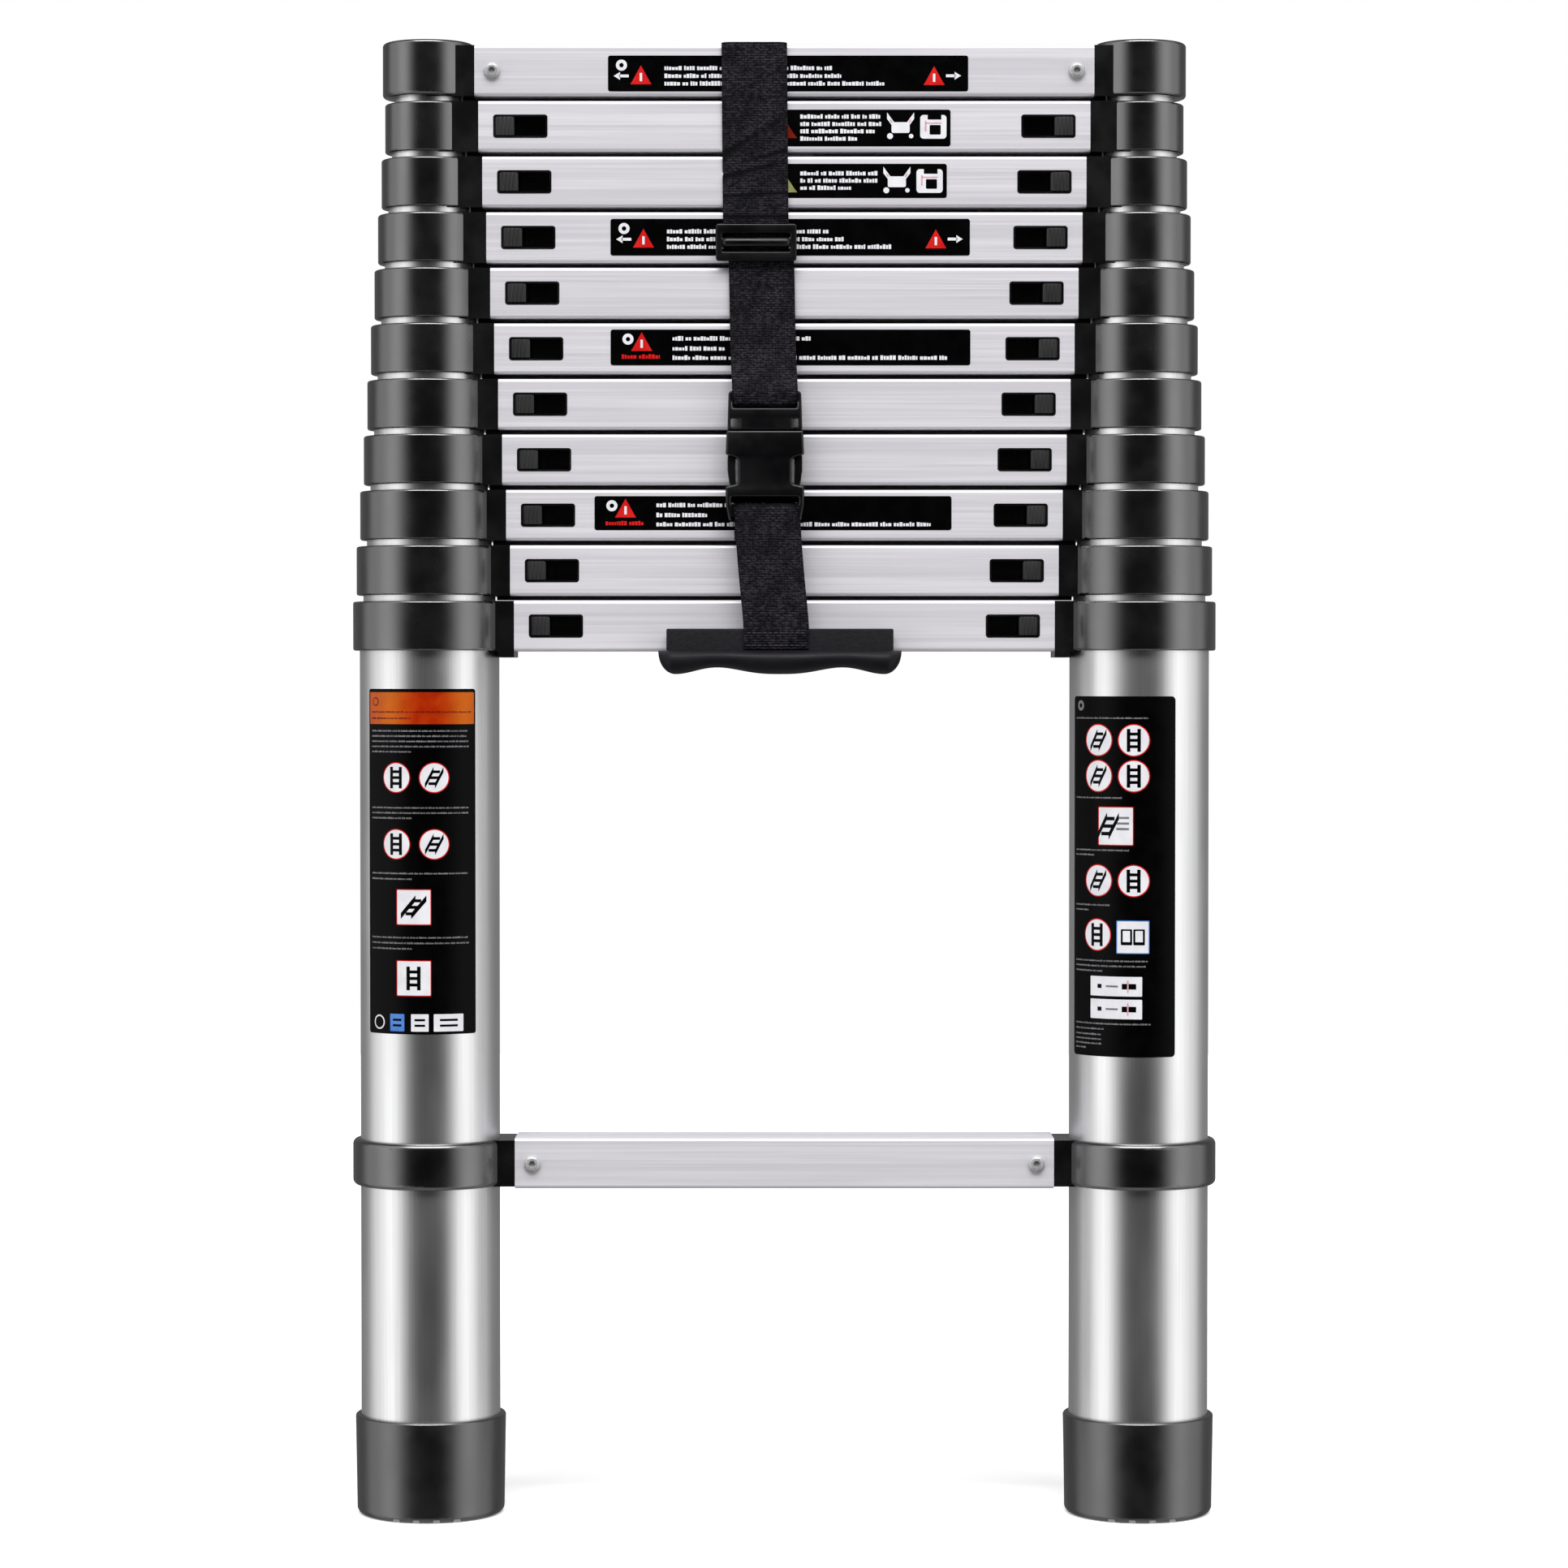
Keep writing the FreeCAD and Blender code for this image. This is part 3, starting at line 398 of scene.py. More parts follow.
def join(name, meshes):
    """One mesh of several closed ones."""
    work = bmesh.new()
    for mesh in meshes:
        work.from_mesh(mesh)
    joined = bpy.data.meshes.new(name)
    work.to_mesh(joined)
    work.free()
    joined.materials.append(meshes[0].materials[0])
    return joined


def cut(mesh, tool):
    """The mesh without the space that the tool's mesh fills."""
    body = new_object("cut_body", mesh)
    knife = new_object("cut_knife", tool)
    modifier = body.modifiers.new("cut", "BOOLEAN")
    modifier.operation = "DIFFERENCE"
    modifier.solver = "EXACT"
    modifier.object = knife
    result = finished_mesh(body)
    for thing in (body, knife):
        bpy.data.objects.remove(thing)
    weld(result)
    return result


def loft(name, rings, material):
    """A closed skin over rings of points, which all have as many points, with flat ends."""
    size = len(rings[0])
    vertices = [point for ring in rings for point in ring]
    faces = []
    for i in range(len(rings) - 1):
        for j in range(size):
            k = (j + 1) % size
            faces.append((i * size + j, i * size + k, (i + 1) * size + k, (i + 1) * size + j))
    faces.append(tuple(range(size))[::-1])
    faces.append(tuple((len(rings) - 1) * size + j for j in range(size)))
    mesh = mesh_of(name, vertices, faces, material)
    weld(mesh)
    return mesh


# ---------------------------------------------------------------- buttons and lock pins

BUTTON_LONG = 10 * MM
BUTTON_EDGE = 0.9 * MM
RIB_COUNT = 4
RIB_DEEP = 0.35 * MM
PIN_RADIUS = 3.5 * MM


def button_mesh(name, low, high):
    """A thumb piece whose front has upright ribs, with every edge rounded."""
    half_long = (high.x - low.x) / 2
    middle = (low.x + high.x) / 2
    ribbed = half_long - BUTTON_EDGE
    steps = RIB_COUNT * 8
    front = []
    for step in range(steps + 1):
        share = step / steps
        hollow = RIB_DEEP * (0.5 - 0.5 * math.cos(2 * math.pi * RIB_COUNT * share))
        front.append((middle - ribbed + 2 * ribbed * share, low.y + hollow))
    outline = [(low.x, high.y), (low.x, low.y + BUTTON_EDGE), *front,
               (high.x, low.y + BUTTON_EDGE), (high.x, high.y)]
    inset = BUTTON_EDGE * 0.6
    levels = [
        (low.z, inset), (low.z + inset * 0.3, inset * 0.3), (low.z + inset, 0),
        (high.z - inset, 0), (high.z - inset * 0.3, inset * 0.3), (high.z, inset),
    ]
    rings = []
    for z, shrink in levels:
        share = 1 - shrink / half_long
        rings.append([(middle + (x - middle) * share, max(y, low.y + shrink), z) for x, y in outline])
    return loft(name, rings, BUTTON)


def pin_mesh(name, start, end, height):
    """The lock pin along X, with a chamfered tip at start."""
    tip = PIN_RADIUS * 0.35 * (1 if end > start else -1)
    stations = [(start, 0.62), (start + tip * 0.4, 0.85), (start + tip, 1.0), (end, 1.0)]
    rings = [round_ring(x, 0, height, PIN_RADIUS * share, 32) for x, share in stations]
    return loft(name, rings, STEEL)


def add_buttons():
    for section in range(2, SECTION_COUNT + 1):
        for side, outward in (("left", -1), ("right", 1)):
            node = f"lock_button_{side}_{section:02d}"
            low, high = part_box(node)
            inner = high.x if outward < 0 else low.x
            tip = low.x if outward < 0 else high.x
            root = inner + outward * BUTTON_LONG
            block_low = Vector((min(inner, root), low.y, low.z))
            block_high = Vector((max(inner, root), high.y, high.z))
            name = f"thumb_button_{side}_{section:02d}"
            block = button_mesh(name, block_low, block_high)
            new_piece(name, block, node, [node])
            pin_name = f"lock_pin_{side}_{section:02d}"
            pin = pin_mesh(pin_name, tip, root - outward * MM, (low.z + high.z) / 2)
            new_piece(pin_name, pin, node)


# ---------------------------------------------------------------- dark strips of painted shade between the rungs

# In millimetres, as slab takes them.
STRIP_TALL = 2.1
STRIP_DEEP = 8
STRIP_EDGE = 0.3

STRIP_EMBED = 0.05 * MM
TUBE_GAP = 1 * MM
STRAP_GAP = 2 * MM


def add_gap_shade_strips():
    """A dark strip under each sliding rung, from tube to tube: painted shade that darkens the gap below
    it.

    The one under rung 2 is in two parts: the strap's lower run lies there once section 1 is out.
    """
    for section in range(1, SECTION_COUNT):
        name = f"gap_shade_strip_{section:02d}"
        rung_low, rung_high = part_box(f"rung_{section:02d}")
        tubes_low, tubes_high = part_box(f"stile_tubes_{section:02d}")
        reach = tubes_high.x - (tubes_high.y - tubes_low.y) - TUBE_GAP
        parts = [(-reach, reach)]
        if section == 2:
            run = lean(STRAP_BOTTOM)
            clear = STRAP_WIDE / 2 + STRAP_GAP
            parts = [(-reach, run - clear), (run + clear, reach)]
        meshes = []
        centre = (0, (rung_low.y + rung_high.y) / 2, rung_low.z + STRIP_EMBED)
        for left, right in parts:
            outline = rectangle(left / MM, right / MM, -STRIP_TALL, 0)
            meshes.append(slab(name, [outline], centre, STRIP_DEEP, STRIP_EDGE, RUBBER))
        new_piece(name, join(name, meshes), body_of_section(section))


# ---------------------------------------------------------------- printed labels

# In millimetres, as everything on a label.
PANEL_THICK = 0.14
INK_THICK = 0.03
LABEL_EMBED = 0.05
PRINT_TALL = 2.5
SQUARE_RIM = 0.5
SIGN_FACE = 0.93

BLACK, WHITE, RED, ORANGE, OLIVE, BLUE, GREY, MAROON, PINK = range(9)
INKS = [
    vinyl(
        "ink_black", (0.0002, 0.0002, 0.0003), (0.0006, 0.0006, 0.0008), 0.36, 0.42,
        Specular_IOR_Level=0.06,
    ),
    vinyl("ink_white", (0.66, 0.66, 0.7), (0.74, 0.74, 0.77)),
    vinyl("ink_red", (0.5, 0.008, 0.008), (0.6, 0.014, 0.012)),
    vinyl(
        "ink_orange", (0.36, 0.012, 0.001), (0.43, 0.026, 0.002), 0.28, 0.34,
        Specular_IOR_Level=1.0, IOR=1.7, Specular_Tint=(1, 0.55, 0.05, 1),
    ),
    vinyl("ink_olive", (0.16, 0.17, 0.05), (0.3, 0.31, 0.14)),
    vinyl("ink_blue", (0.05, 0.16, 0.5), (0.08, 0.22, 0.6)),
    vinyl("ink_grey", (0.13, 0.13, 0.14), (0.2, 0.2, 0.21)),
    vinyl("ink_maroon", (0.12, 0.006, 0.002), (0.18, 0.01, 0.003)),
    vinyl("ink_pink", (0.55, 0.28, 0.32), (0.66, 0.38, 0.42)),
]


def shares(steps):
    """Evenly spaced numbers from -1 to 1."""
    return [2 * step / steps - 1 for step in range(steps + 1)]


class Label:
    """A sticker of plain shapes, all measured in millimetres: u runs right and v up.

    Each shape is a thin closed prism on the surface that place(u, v, height) gives in metres. A
    higher layer lies on the lower ones.
    """

    def __init__(self, name, place):
        self.name = name
        self.place = place
        self.vertices = []
        self.faces = []
        self.inks = []

    def columns(self, stations, layer, ink):
        """A prism from stations (u, lowest v, highest v), taken from left to right."""
        top = PANEL_THICK + layer * INK_THICK
        bottom = -LABEL_EMBED if layer == 0 else 0.0
        first = len(self.vertices)
        for u, low, high in stations:
            for v, height in ((low, bottom), (low, top), (high, top), (high, bottom)):
                self.vertices.append(self.place(u * MM, v * MM, height * MM))
        quads = []
        for i in range(len(stations) - 1):
            a = first + 4 * i
            b = a + 4
            quads.extend((a + j, b + j, b + (j + 1) % 4, a + (j + 1) % 4) for j in range(4))
        last = first + 4 * (len(stations) - 1)
        quads.append((first, first + 1, first + 2, first + 3))
        quads.append((last + 3, last + 2, last + 1, last))
        self.faces.extend(quads)
        self.inks.extend([ink] * len(quads))

    def bar(self, u, v, wide, tall, layer, ink, corner=0.0):
        """An upright rectangle about (u, v), with rounded corners if corner isn't 0."""
        stations = []
        for share in ends_and_middle(wide, corner):
            across = abs(share) - (wide / 2 - corner)
            drop = corner - math.sqrt(max(corner**2 - across**2, 0)) if across > 0 else 0.0
            half = tall / 2 - min(drop, tall / 2 * 0.98)
            stations.append((u + share, v - half, v + half))
        self.columns(stations, layer, ink)

    def disc(self, u, v, radius, layer, ink):
        """A round spot, whose ends are cut off a hair short of a point."""
        stations = []
        for step in range(17):
            angle = math.pi * (0.02 + 0.96 * step / 16)
            across = -radius * math.cos(angle)
            half = radius * math.sin(angle)
            stations.append((u + across, v - half, v + half))
        self.columns(stations, layer, ink)

    def triangle(self, u, v, wide, tall, layer, ink):
        """A triangle that stands on its base, whose middle is at (u, v)."""
        stations = []
        for share in shares(12):
            stations.append((u + share * wide / 2, v, v + tall * max(1 - abs(share), 0.03)))
        self.columns(stations, layer, ink)

    def slope(self, u, v, half_wide, thick, rise, layer, ink):
        """A bar that climbs by rise from its left end to its right one."""
        stations = []
        for share in shares(8):
            middle = v + share * rise / 2
            stations.append((u + share * half_wide, middle - thick / 2, middle + thick / 2))
        self.columns(stations, layer, ink)

    def row(self, left, right, v, tall, layer, ink, seed):
        """A line of print, shown only as groups of plain blocks of uneven sizes."""
        chance = random.Random(seed)
        u = left
        while u < right - tall:
            for _ in range(chance.randint(2, 8)):
                wide = min(tall * chance.uniform(0.35, 0.7), right - u)
                if wide < 0.2 * tall:
                    break
                share = chance.uniform(0.6, 1.0)
                self.bar(u + wide / 2, v - tall * (1 - share) / 3, wide, tall * share, layer, ink)
                u += wide + 0.13 * tall
            u += 0.4 * tall

    def finish(self, body):
        mesh = bpy.data.meshes.new(self.name)
        mesh.from_pydata(self.vertices, [], self.faces)
        for ink in INKS:
            mesh.materials.append(ink)
        mesh.polygons.foreach_set("material_index", self.inks)
        mesh.update()
        work = bmesh.new()
        work.from_mesh(mesh)
        bmesh.ops.recalc_face_normals(work, faces=work.faces)
        work.to_mesh(mesh)
        work.free()
        new_piece(self.name, mesh, body)


def ends_and_middle(wide, corner, column=1.6):
    """Stations across a bar: close together over its rounded ends, and a column apart between."""
    half = wide / 2
    ends = []
    if corner > 0:
        for step in range(5):
            ends.append(half - corner + corner * math.sin(math.pi / 2 * (step + 1) / 5))
    flat = half - corner
    count = max(1, math.ceil(2 * flat / column))
    middle = [-flat + 2 * flat * step / count for step in range(count + 1)]
    return [-end for end in reversed(ends)] + middle + ends


def rung_surface(section):
    """Where a point of a rung label lies: from the ladder's middle and the rung's own."""
    low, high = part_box("base_rungs" if section == SECTION_COUNT else f"rung_{section:02d}")
    middle = (low.z + high.z) / 2
    return lambda u, v, height: (u, low.y - height, middle + v)


def add_rung_labels():
    add_notice(1, -95.3, 99.3, -11.3, 8.0, arrows=True)
    add_notice(4, -94.0, 100.3, -9.8, 10.0, arrows=True)
    add_notice(6, -94.0, 100.6, -9.0, 10.3, arrows=False)
    add_notice(9, -102.8, 90.5, -8.1, 10.3, arrows=False)
    add_diagram_label(2, -31.0, 89.8, -10.9, 8.9, (3.7, 7.7, 11.6, 15.6), MAROON)
    add_diagram_label(3, -31.0, 87.8, -8.7, 9.7, (5.1, 9.0, 12.9), OLIVE)


def add_panel(label, left, right, low, high, corner=1.3):
    """The black ground of a label."""
    wide = right - left
    tall = high - low
    label.bar((left + right) / 2, (low + high) / 2, wide, tall, 0, BLACK, corner)


def add_notice(section, left, right, low, high, arrows):
    """A long black label: a disc and a red triangle at its left, then three rows of print."""
    label = Label(f"rung_label_{section:02d}", rung_surface(section))
    add_panel(label, left, right, low, high)
    disc, mark = (7.3, 17.8) if arrows else (9.4, 16.8)
    add_mark(label, left + disc, high - 5.2, 3.0, 1.2)
    add_hazard(label, left + mark, high - (15.5 if arrows else 11.6))
    if arrows:
        add_arrow(label, left + 7.4, high - 11.0, -1)
        add_arrow(label, right - 8.2, high - 10.9, 1)
        add_hazard(label, right - 18.4, high - 15.9)
        rows = ((6.7, 121.0), (10.9, 126.0), (15.0, 152.5))
        start = left + 30.5
    else:
        label.row(left + 6.0, left + 26.6, high - 14.6, PRINT_TALL, 1, RED, 10 * section + 3)
        rows = ((4.8, 111.0), (10.2, 62.0), (15.2, 182.0))
        start = left + 33.5
    for number, (drop, reach) in enumerate(rows):
        label.row(start, left + reach, high - drop, PRINT_TALL, 1, WHITE, 10 * section + number)
    label.finish(body_of_section(section))


def add_mark(label, u, v, radius, hole, ink=WHITE, ground=BLACK, layer=1):
    """A disc with a middle in the colour of its ground."""
    label.disc(u, v, radius, layer, ink)
    label.disc(u, v, hole, layer + 1, ground)


def add_hazard(label, u, v):
    """A red triangle with a pale stroke, which stands at (u, v)."""
    label.triangle(u, v, 11.2, 10.2, 1, RED)
    label.bar(u, v + 3.9, 1.3, 4.4, 2, WHITE)


def add_arrow(label, u, v, way):
    """A small level arrow: a bar with a pointed end."""
    label.bar(u - way * 1.2, v, 5.2, 1.5, 1, WHITE)
    steps = 6
    stations = []
    for step in range(steps + 1):
        share = step / steps
        half = 2.1 * max(share if way < 0 else 1 - share, 0.04)
        stations.append((u + (share - 0.5) * 3.4 + way * 2.6, v - half, v + half))
    label.columns(stations, 1, WHITE)


def add_diagram_label(section, left, right, low, high, drops, accent):
    """A black label that comes out from behind the strap: rows of print, and two pale diagrams."""
    label = Label(f"rung_label_{section:02d}", rung_surface(section))
    add_panel(label, left, right, low, high)
    label.triangle(0.3, high - 15.4, 13.0, 9.6, 1, accent)
    for number, drop in enumerate(drops):
        reach = right - (50.0 if number == len(drops) - 1 else 37.5)
        label.row(8.6, reach, high - drop, PRINT_TALL, 1, WHITE, 10 * section + number)
    add_crossed_diagram(label, right - 27.0, high - 9.3)
    add_ring_diagram(label, right - 9.3, high - 9.3)
    label.finish(body_of_section(section))


def add_crossed_diagram(label, u, v):
    """A pale block with two slanting arms above it and two feet below."""
    for side in (-1, 1):
        label.slope(u + side * 5.4, v + 3.4, 1.9, 3.4, side * 5.2, 1, WHITE)
        label.slope(u + side * 4.6, v + 2.4, 1.1, 1.5, side * 3.0, 2, PINK)
        label.disc(u + side * 5.7, v - 5.0, 1.4 - 0.2 * side, 1, WHITE)
    label.bar(u, v - 0.4, 9.8, 5.8, 3, WHITE, 1.0)


def add_ring_diagram(label, u, v):
    """A pale ring with a dark middle, open at its top, and a bar across it."""
    label.bar(u, v, 14.2, 12.8, 1, WHITE, 1.8)
    label.bar(u + 1.0, v - 1.6, 6.0, 5.2, 2, BLACK, 0.6)
    label.bar(u + 0.6, v + 5.2, 7.4, 2.6, 2, BLACK)
    label.bar(u + 0.2, v + 2.0, 8.4, 0.8, 3, PINK)
    label.bar(u - 4.2, v + 0.4, 0.9, 5.6, 3, PINK)


def tube_surface(side):
    """Where a point of a base tube's label lies: round the tube from its front, and up."""
    low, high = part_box("stile_tubes_11")
    radius = (high.y - low.y) / 2
    axis = side * (high.x - radius)

    def place(u, v, height):
        angle = u / radius
        reach = radius + height
        return (axis + reach * math.sin(angle), -reach * math.cos(angle), v)

    return place


def add_sign(label, u, v, radius, lean):
    """A pale disc in a thin red ring, with a plain ladder on it."""
    add_mark(label, u, v, radius, radius * SIGN_FACE, RED, WHITE)
    add_ladder_sign(label, u, v, radius * 0.7, lean)


def add_ladder_sign(label, u, v, size, lean):
    """Two rails and three rungs, leaning right by a share of their height."""
    for rung in (-0.55, 0.0, 0.55):
        label.bar(u + rung * size * lean, v + rung * size, size * 0.8, size * 0.26, 3, BLACK)
    for rail in (-1, 1):
        middle = u + rail * size * 0.46
        thick = size * 0.15
        if lean:
            half = size * abs(lean) + thick
            label.slope(middle, v, half, size * 0.5, 2 * size - size * 0.5, 3, BLACK)
        else:
            label.bar(middle, v, thick * 2, size * 2, 3, BLACK)


def add_square(label, u, v, wide, tall, rim):
    """A plain pale square in a thin rim."""
    label.bar(u, v, wide, tall, 1, rim, 0.6)
    label.bar(u, v, wide - 2 * SQUARE_RIM, tall - 2 * SQUARE_RIM, 2, WHITE, 0.4)


def add_print(label, left, right, rows, seed):
    """Rows of fine print, the last of them cut short."""
    for number, v in enumerate(rows):
        last = number == len(rows) - 1 and number > 0
        reach = left + (right - left) * (0.45 if last else 1.0)
        label.row(left, reach, v, 1.0, 1, GREY, seed + number)


def add_left_tube_label():
    """A tall black label with an orange head, rows of fine print, four signs and two squares."""
    label = Label("tube_label_left", tube_surface(-1))
    left, right = -36.1, 29.4
    top, bottom = 451.0, 264.8
    middle = (left + right) / 2
    add_panel(label, left, right, bottom, top, 1.5)
    label.bar(middle, top - 10.4, right - left - 2.0, 17.2, 1, ORANGE, 0.6)
    add_mark(label, left + 6.0, top - 6.9, 2.4, 1.7, MAROON, ORANGE, 2)
    label.row(left + 3, right - 3, top - 12.4, 1.1, 2, MAROON, 300)
    label.row(left + 3, middle - 4, top - 15.8, 1.1, 2, MAROON, 301)
    for seed, drops in ((310, (22.6, 25.4, 28.2, 31.0, 33.8)), (320, (64.0, 66.8, 69.6)),
                        (330, (99.4, 102.4)), (340, (134, 137, 140))):
        add_print(label, left + 2.8, right - 4.5, [top - drop for drop in drops], seed)
    for drop in (47.8, 83.7):
        add_sign(label, left + 20.0, top - drop, 8.3, 0.0)
        add_sign(label, left + 41.3, top - drop, 8.3, 0.25)
    for drop, lean in ((117.6, 0.5), (156.0, 0.0)):
        add_square(label, left + 29.9, top - drop, 19.4, 19.4, RED)
        add_ladder_sign(label, left + 29.9, top - drop, 6.4, lean)
    foot = top - 180.0
    add_mark(label, left + 8.5, foot, 3.9, 3.1)
    for start, wide, ink in ((20.4, 8.6, BLUE), (33.3, 9.6, WHITE), (49.1, 16.6, WHITE)):
        label.bar(left + start, foot, wide, 9.4, 1, ink, 0.4)
        for rise in (-1.5, 1.5):
            label.bar(left + start, foot + rise, wide * 0.6, 1.2, 2, BLACK)
    label.finish(BASE_BODY)


def add_right_tube_label():
    """A tall black label: four signs, a square, two signs, a sign and a square, two wide boxes."""
    label = Label("tube_label_right", tube_surface(1))
    left, right = -46.5, 17.7
    top, bottom = 447.0, 252.4
    add_panel(label, left, right, bottom, top, 2.2)
    add_mark(label, left + 7.0, top - 5.0, 2.8, 1.2, GREY)
    start = left + 2.6
    for seed, reach, drops in (
        (410, 46.0, (11.7,)), (420, 33.0, (54.7,)), (430, 36.0, (83.0, 85.6)),
        (440, 25.0, (112.7, 115.4)), (450, 46.0, (142.8, 145.6, 148.3)),
        (460, 48.0, (176.8, 179.7)), (470, 20.0, (182.7, 185.2, 187.7, 190.1)),
    ):
        add_print(label, start, start + reach, [top - drop for drop in drops], seed)
    for drop in (23.7, 43.0, 99.5):
        add_sign(label, -26.2, top - drop, 8.8, 0.25)
        add_sign(label, -5.6, top - drop, 8.8, 0.0)
    square = top - 70.0
    add_square(label, -15.8, square, 20.4, 21.0, RED)
    add_ladder_sign(label, -20.0, square, 7.4, 0.25)
    for rise in (-1.5, 1.5, 4.5):
        label.bar(-11.6, square + rise, 7.0, 1.2, 3, GREY)
    add_sign(label, -26.8, top - 128.8, 8.8, 0.0)
    book = top - 129.8
    add_square(label, -6.0, book, 18.0, 18.0, BLUE)
    for page in (-9.4, -2.6):
        label.bar(page, book, 6.2, 8.6, 3, BLACK, 0.5)
        label.bar(page, book + 0.4, 4.0, 6.0, 4, WHITE)
    for v in (top - 156.5, top - 168.8):
        label.bar(-16.0, v, 30.2, 10.6, 1, WHITE, 0.4)
        label.bar(-25.0, v, 2.6, 2.2, 2, BLACK)
        label.bar(-17.6, v, 7.0, 1.0, 2, GREY)
        label.bar(-8.0, v, 7.8, 3.0, 2, BLACK)
        label.bar(-8.6, v, 0.8, 6.6, 3, PINK)
    label.finish(BASE_BODY)


# ---------------------------------------------------------------- strap, buckle and handle

STRAP_WIDE = 35.4 * MM
STRAP_THICK = 1.4 * MM
SAMPLE = 1.2 * MM

_strap_low, _strap_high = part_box("strap_webbing")
_buckle_low, _buckle_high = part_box("strap_buckle")
_tongue_low, _tongue_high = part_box("buckle_tongue")
_handle_low, _handle_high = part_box("carry_handle")

STRAP_FRONT = _strap_low.y + STRAP_THICK / 2
STRAP_BACK = _strap_high.y - STRAP_THICK / 2
STRAP_TOP = _strap_high.z - STRAP_THICK / 2 - 0.3 * MM
STRAP_BOTTOM = _strap_low.z + STRAP_THICK / 2
HARDWARE_BACK = _buckle_high.y
BUCKLE_FRONT = _buckle_low.y
BUCKLE_X = (_tongue_low.x + _tongue_high.x) / 2
BUCKLE_MIDDLE = (HARDWARE_BACK + BUCKLE_FRONT) / 2

# In millimetres, as slab takes them.
BUCKLE_DEEP = (HARDWARE_BACK - BUCKLE_FRONT) / MM
SOCKET_TALL = 48.2
ADJUSTER_TALL = 20
ADJUSTER_DEEP = 3.6
PLATE_DEEP = 9

SOCKET_LOW = _buckle_low.z
SOCKET_HIGH = SOCKET_LOW + SOCKET_TALL * MM
TONGUE_HIGH = _tongue_high.z
ADJUSTER_MIDDLE = _buckle_high.z - 8 * MM
ADJUSTER_X = -15.2 * MM
HANDLE_X = (_handle_low.x + _handle_high.x) / 2
HANDLE_TOP = _handle_high.z
HANDLE_SEAM = HANDLE_TOP - 11.8 * MM
PLATE_FRONT = HARDWARE_BACK - PLATE_DEEP * MM
BAR_TURN = 3.4 * MM

# Heights that the front webbing passes: above the adjuster, above the tongue, and above the handle.
UPPER_HEIGHTS = (0.775, 0.752, 0.73, 0.712)
MIDDLE_HEIGHTS = (0.655, 0.632)
LOWER_HEIGHTS = (0.53, 0.512)

# How strongly a fold's slope paints light and shade into the webbing's colour.
FOLD_SHADE_GAIN = 2
UV_SHIFT = 500


def smooth_path(points):
    """Points a sample apart on a smooth curve through these points, as Catmull and Rom drew it."""
    points = [Vector(p) for p in points]
    padded = [2 * points[0] - points[1], *points, 2 * points[-1] - points[-2]]
    fine = [points[0]]
    for i in range(1, len(padded) - 2):
        a, b, c, d = padded[i - 1:i + 3]
        steps = max(2, math.ceil((c - b).length / (SAMPLE / 2)))
        for step in range(1, steps + 1):
            t = step / steps
            fine.append(0.5 * (
                2 * b + (c - a) * t + (2 * a - 5 * b + 4 * c - d) * t**2
                + (3 * b - a - 3 * c + d) * t**3
            ))
    return fine


def strap_piece(name, points, crumple, body, replaces=()):
    """A ribbon of webbing along points (x, y, z), which face their outer side away from the rungs.

    crumple(point, across) is how far the webbing stands off its line there.
    """
    line = smooth_path(points)
    half_wide = STRAP_WIDE / 2
    across = [half_wide * math.sin(math.pi / 2 * share) for share in shares(14)]
    rings = []
    folds = []
    lengths = [0.0]
    for i, point in enumerate(line):
        if i:
            lengths.append(lengths[-1] + (point - line[i - 1]).length)
        ahead = line[min(i + 1, len(line) - 1)] - line[max(i - 1, 0)]
        outward = Vector((0, ahead.z, -ahead.y)).normalized()
        ring = []
        for side in (1, -1):
            for c in (across if side > 0 else reversed(across)):
                edge = min(1.0, max(0.0, 1 - (abs(c) / half_wide) ** 10)) ** 0.5
                height = STRAP_THICK / 2 * (0.25 + 0.75 * edge) * side
                ring.append(point + Vector((c, 0, 0)) + outward * (height + crumple(point, c)))
                # Painted shade of the folds, one value per point, for the webbing's colour.
                folds.append(painted_fold_shade(crumple, point, c))
        rings.append(ring)
    mesh = loft(name, rings, WEBBING)
    mesh.attributes.new(FOLD_SHADE, "FLOAT", "POINT").data.foreach_set("value", folds)
    map_webbing(mesh, line, lengths)
    return new_piece(name, mesh, body, replaces)


def painted_fold_shade(crumple, point, across):
    """Painted shade at a point of the webbing, by how much it faces up: 0.5 if not at all, 1 on the top
    of a steep fold, down to 0.05 where it faces down.
    """
    step = Vector((0, 0, 0.4 * MM))
    slope = (crumple(point - step, across) - crumple(point + step, across)) / (2 * step.z)
    return min(1.0, max(0.05, 0.5 + FOLD_SHADE_GAIN * slope))


def map_webbing(mesh, line, lengths):
    """A UV map in millimetres: u across the strap, kept above 0, and v along it."""
    size = len(mesh.vertices) // len(line)
    uv = mesh.uv_layers.new(name="weave")
    for loop in mesh.loops:
        i = min(loop.vertex_index // size, len(line) - 1)
        point = mesh.vertices[loop.vertex_index].co
        uv.data[loop.index].uv = ((point.x - line[i].x) / MM + UV_SHIFT, lengths[i] / MM)


def lean(z):
    """The strap's middle at a height on the front of the rungs."""
    stations = [
        (_strap_low.z, -4.4), (HANDLE_TOP, -4.6), (SOCKET_LOW, -9.3), (SOCKET_HIGH, -10.4),
        (TONGUE_HIGH, -10.9), (ADJUSTER_MIDDLE - 10 * MM, -12.5), (ADJUSTER_MIDDLE, -15.4),
        (_strap_high.z, -16.3),
    ]
    for (z0, x0), (z1, x1) in zip(stations, stations[1:]):
        if z <= z1:
            return (x0 + (x1 - x0) * (z - z0) / (z1 - z0)) * MM
    return stations[-1][1] * MM


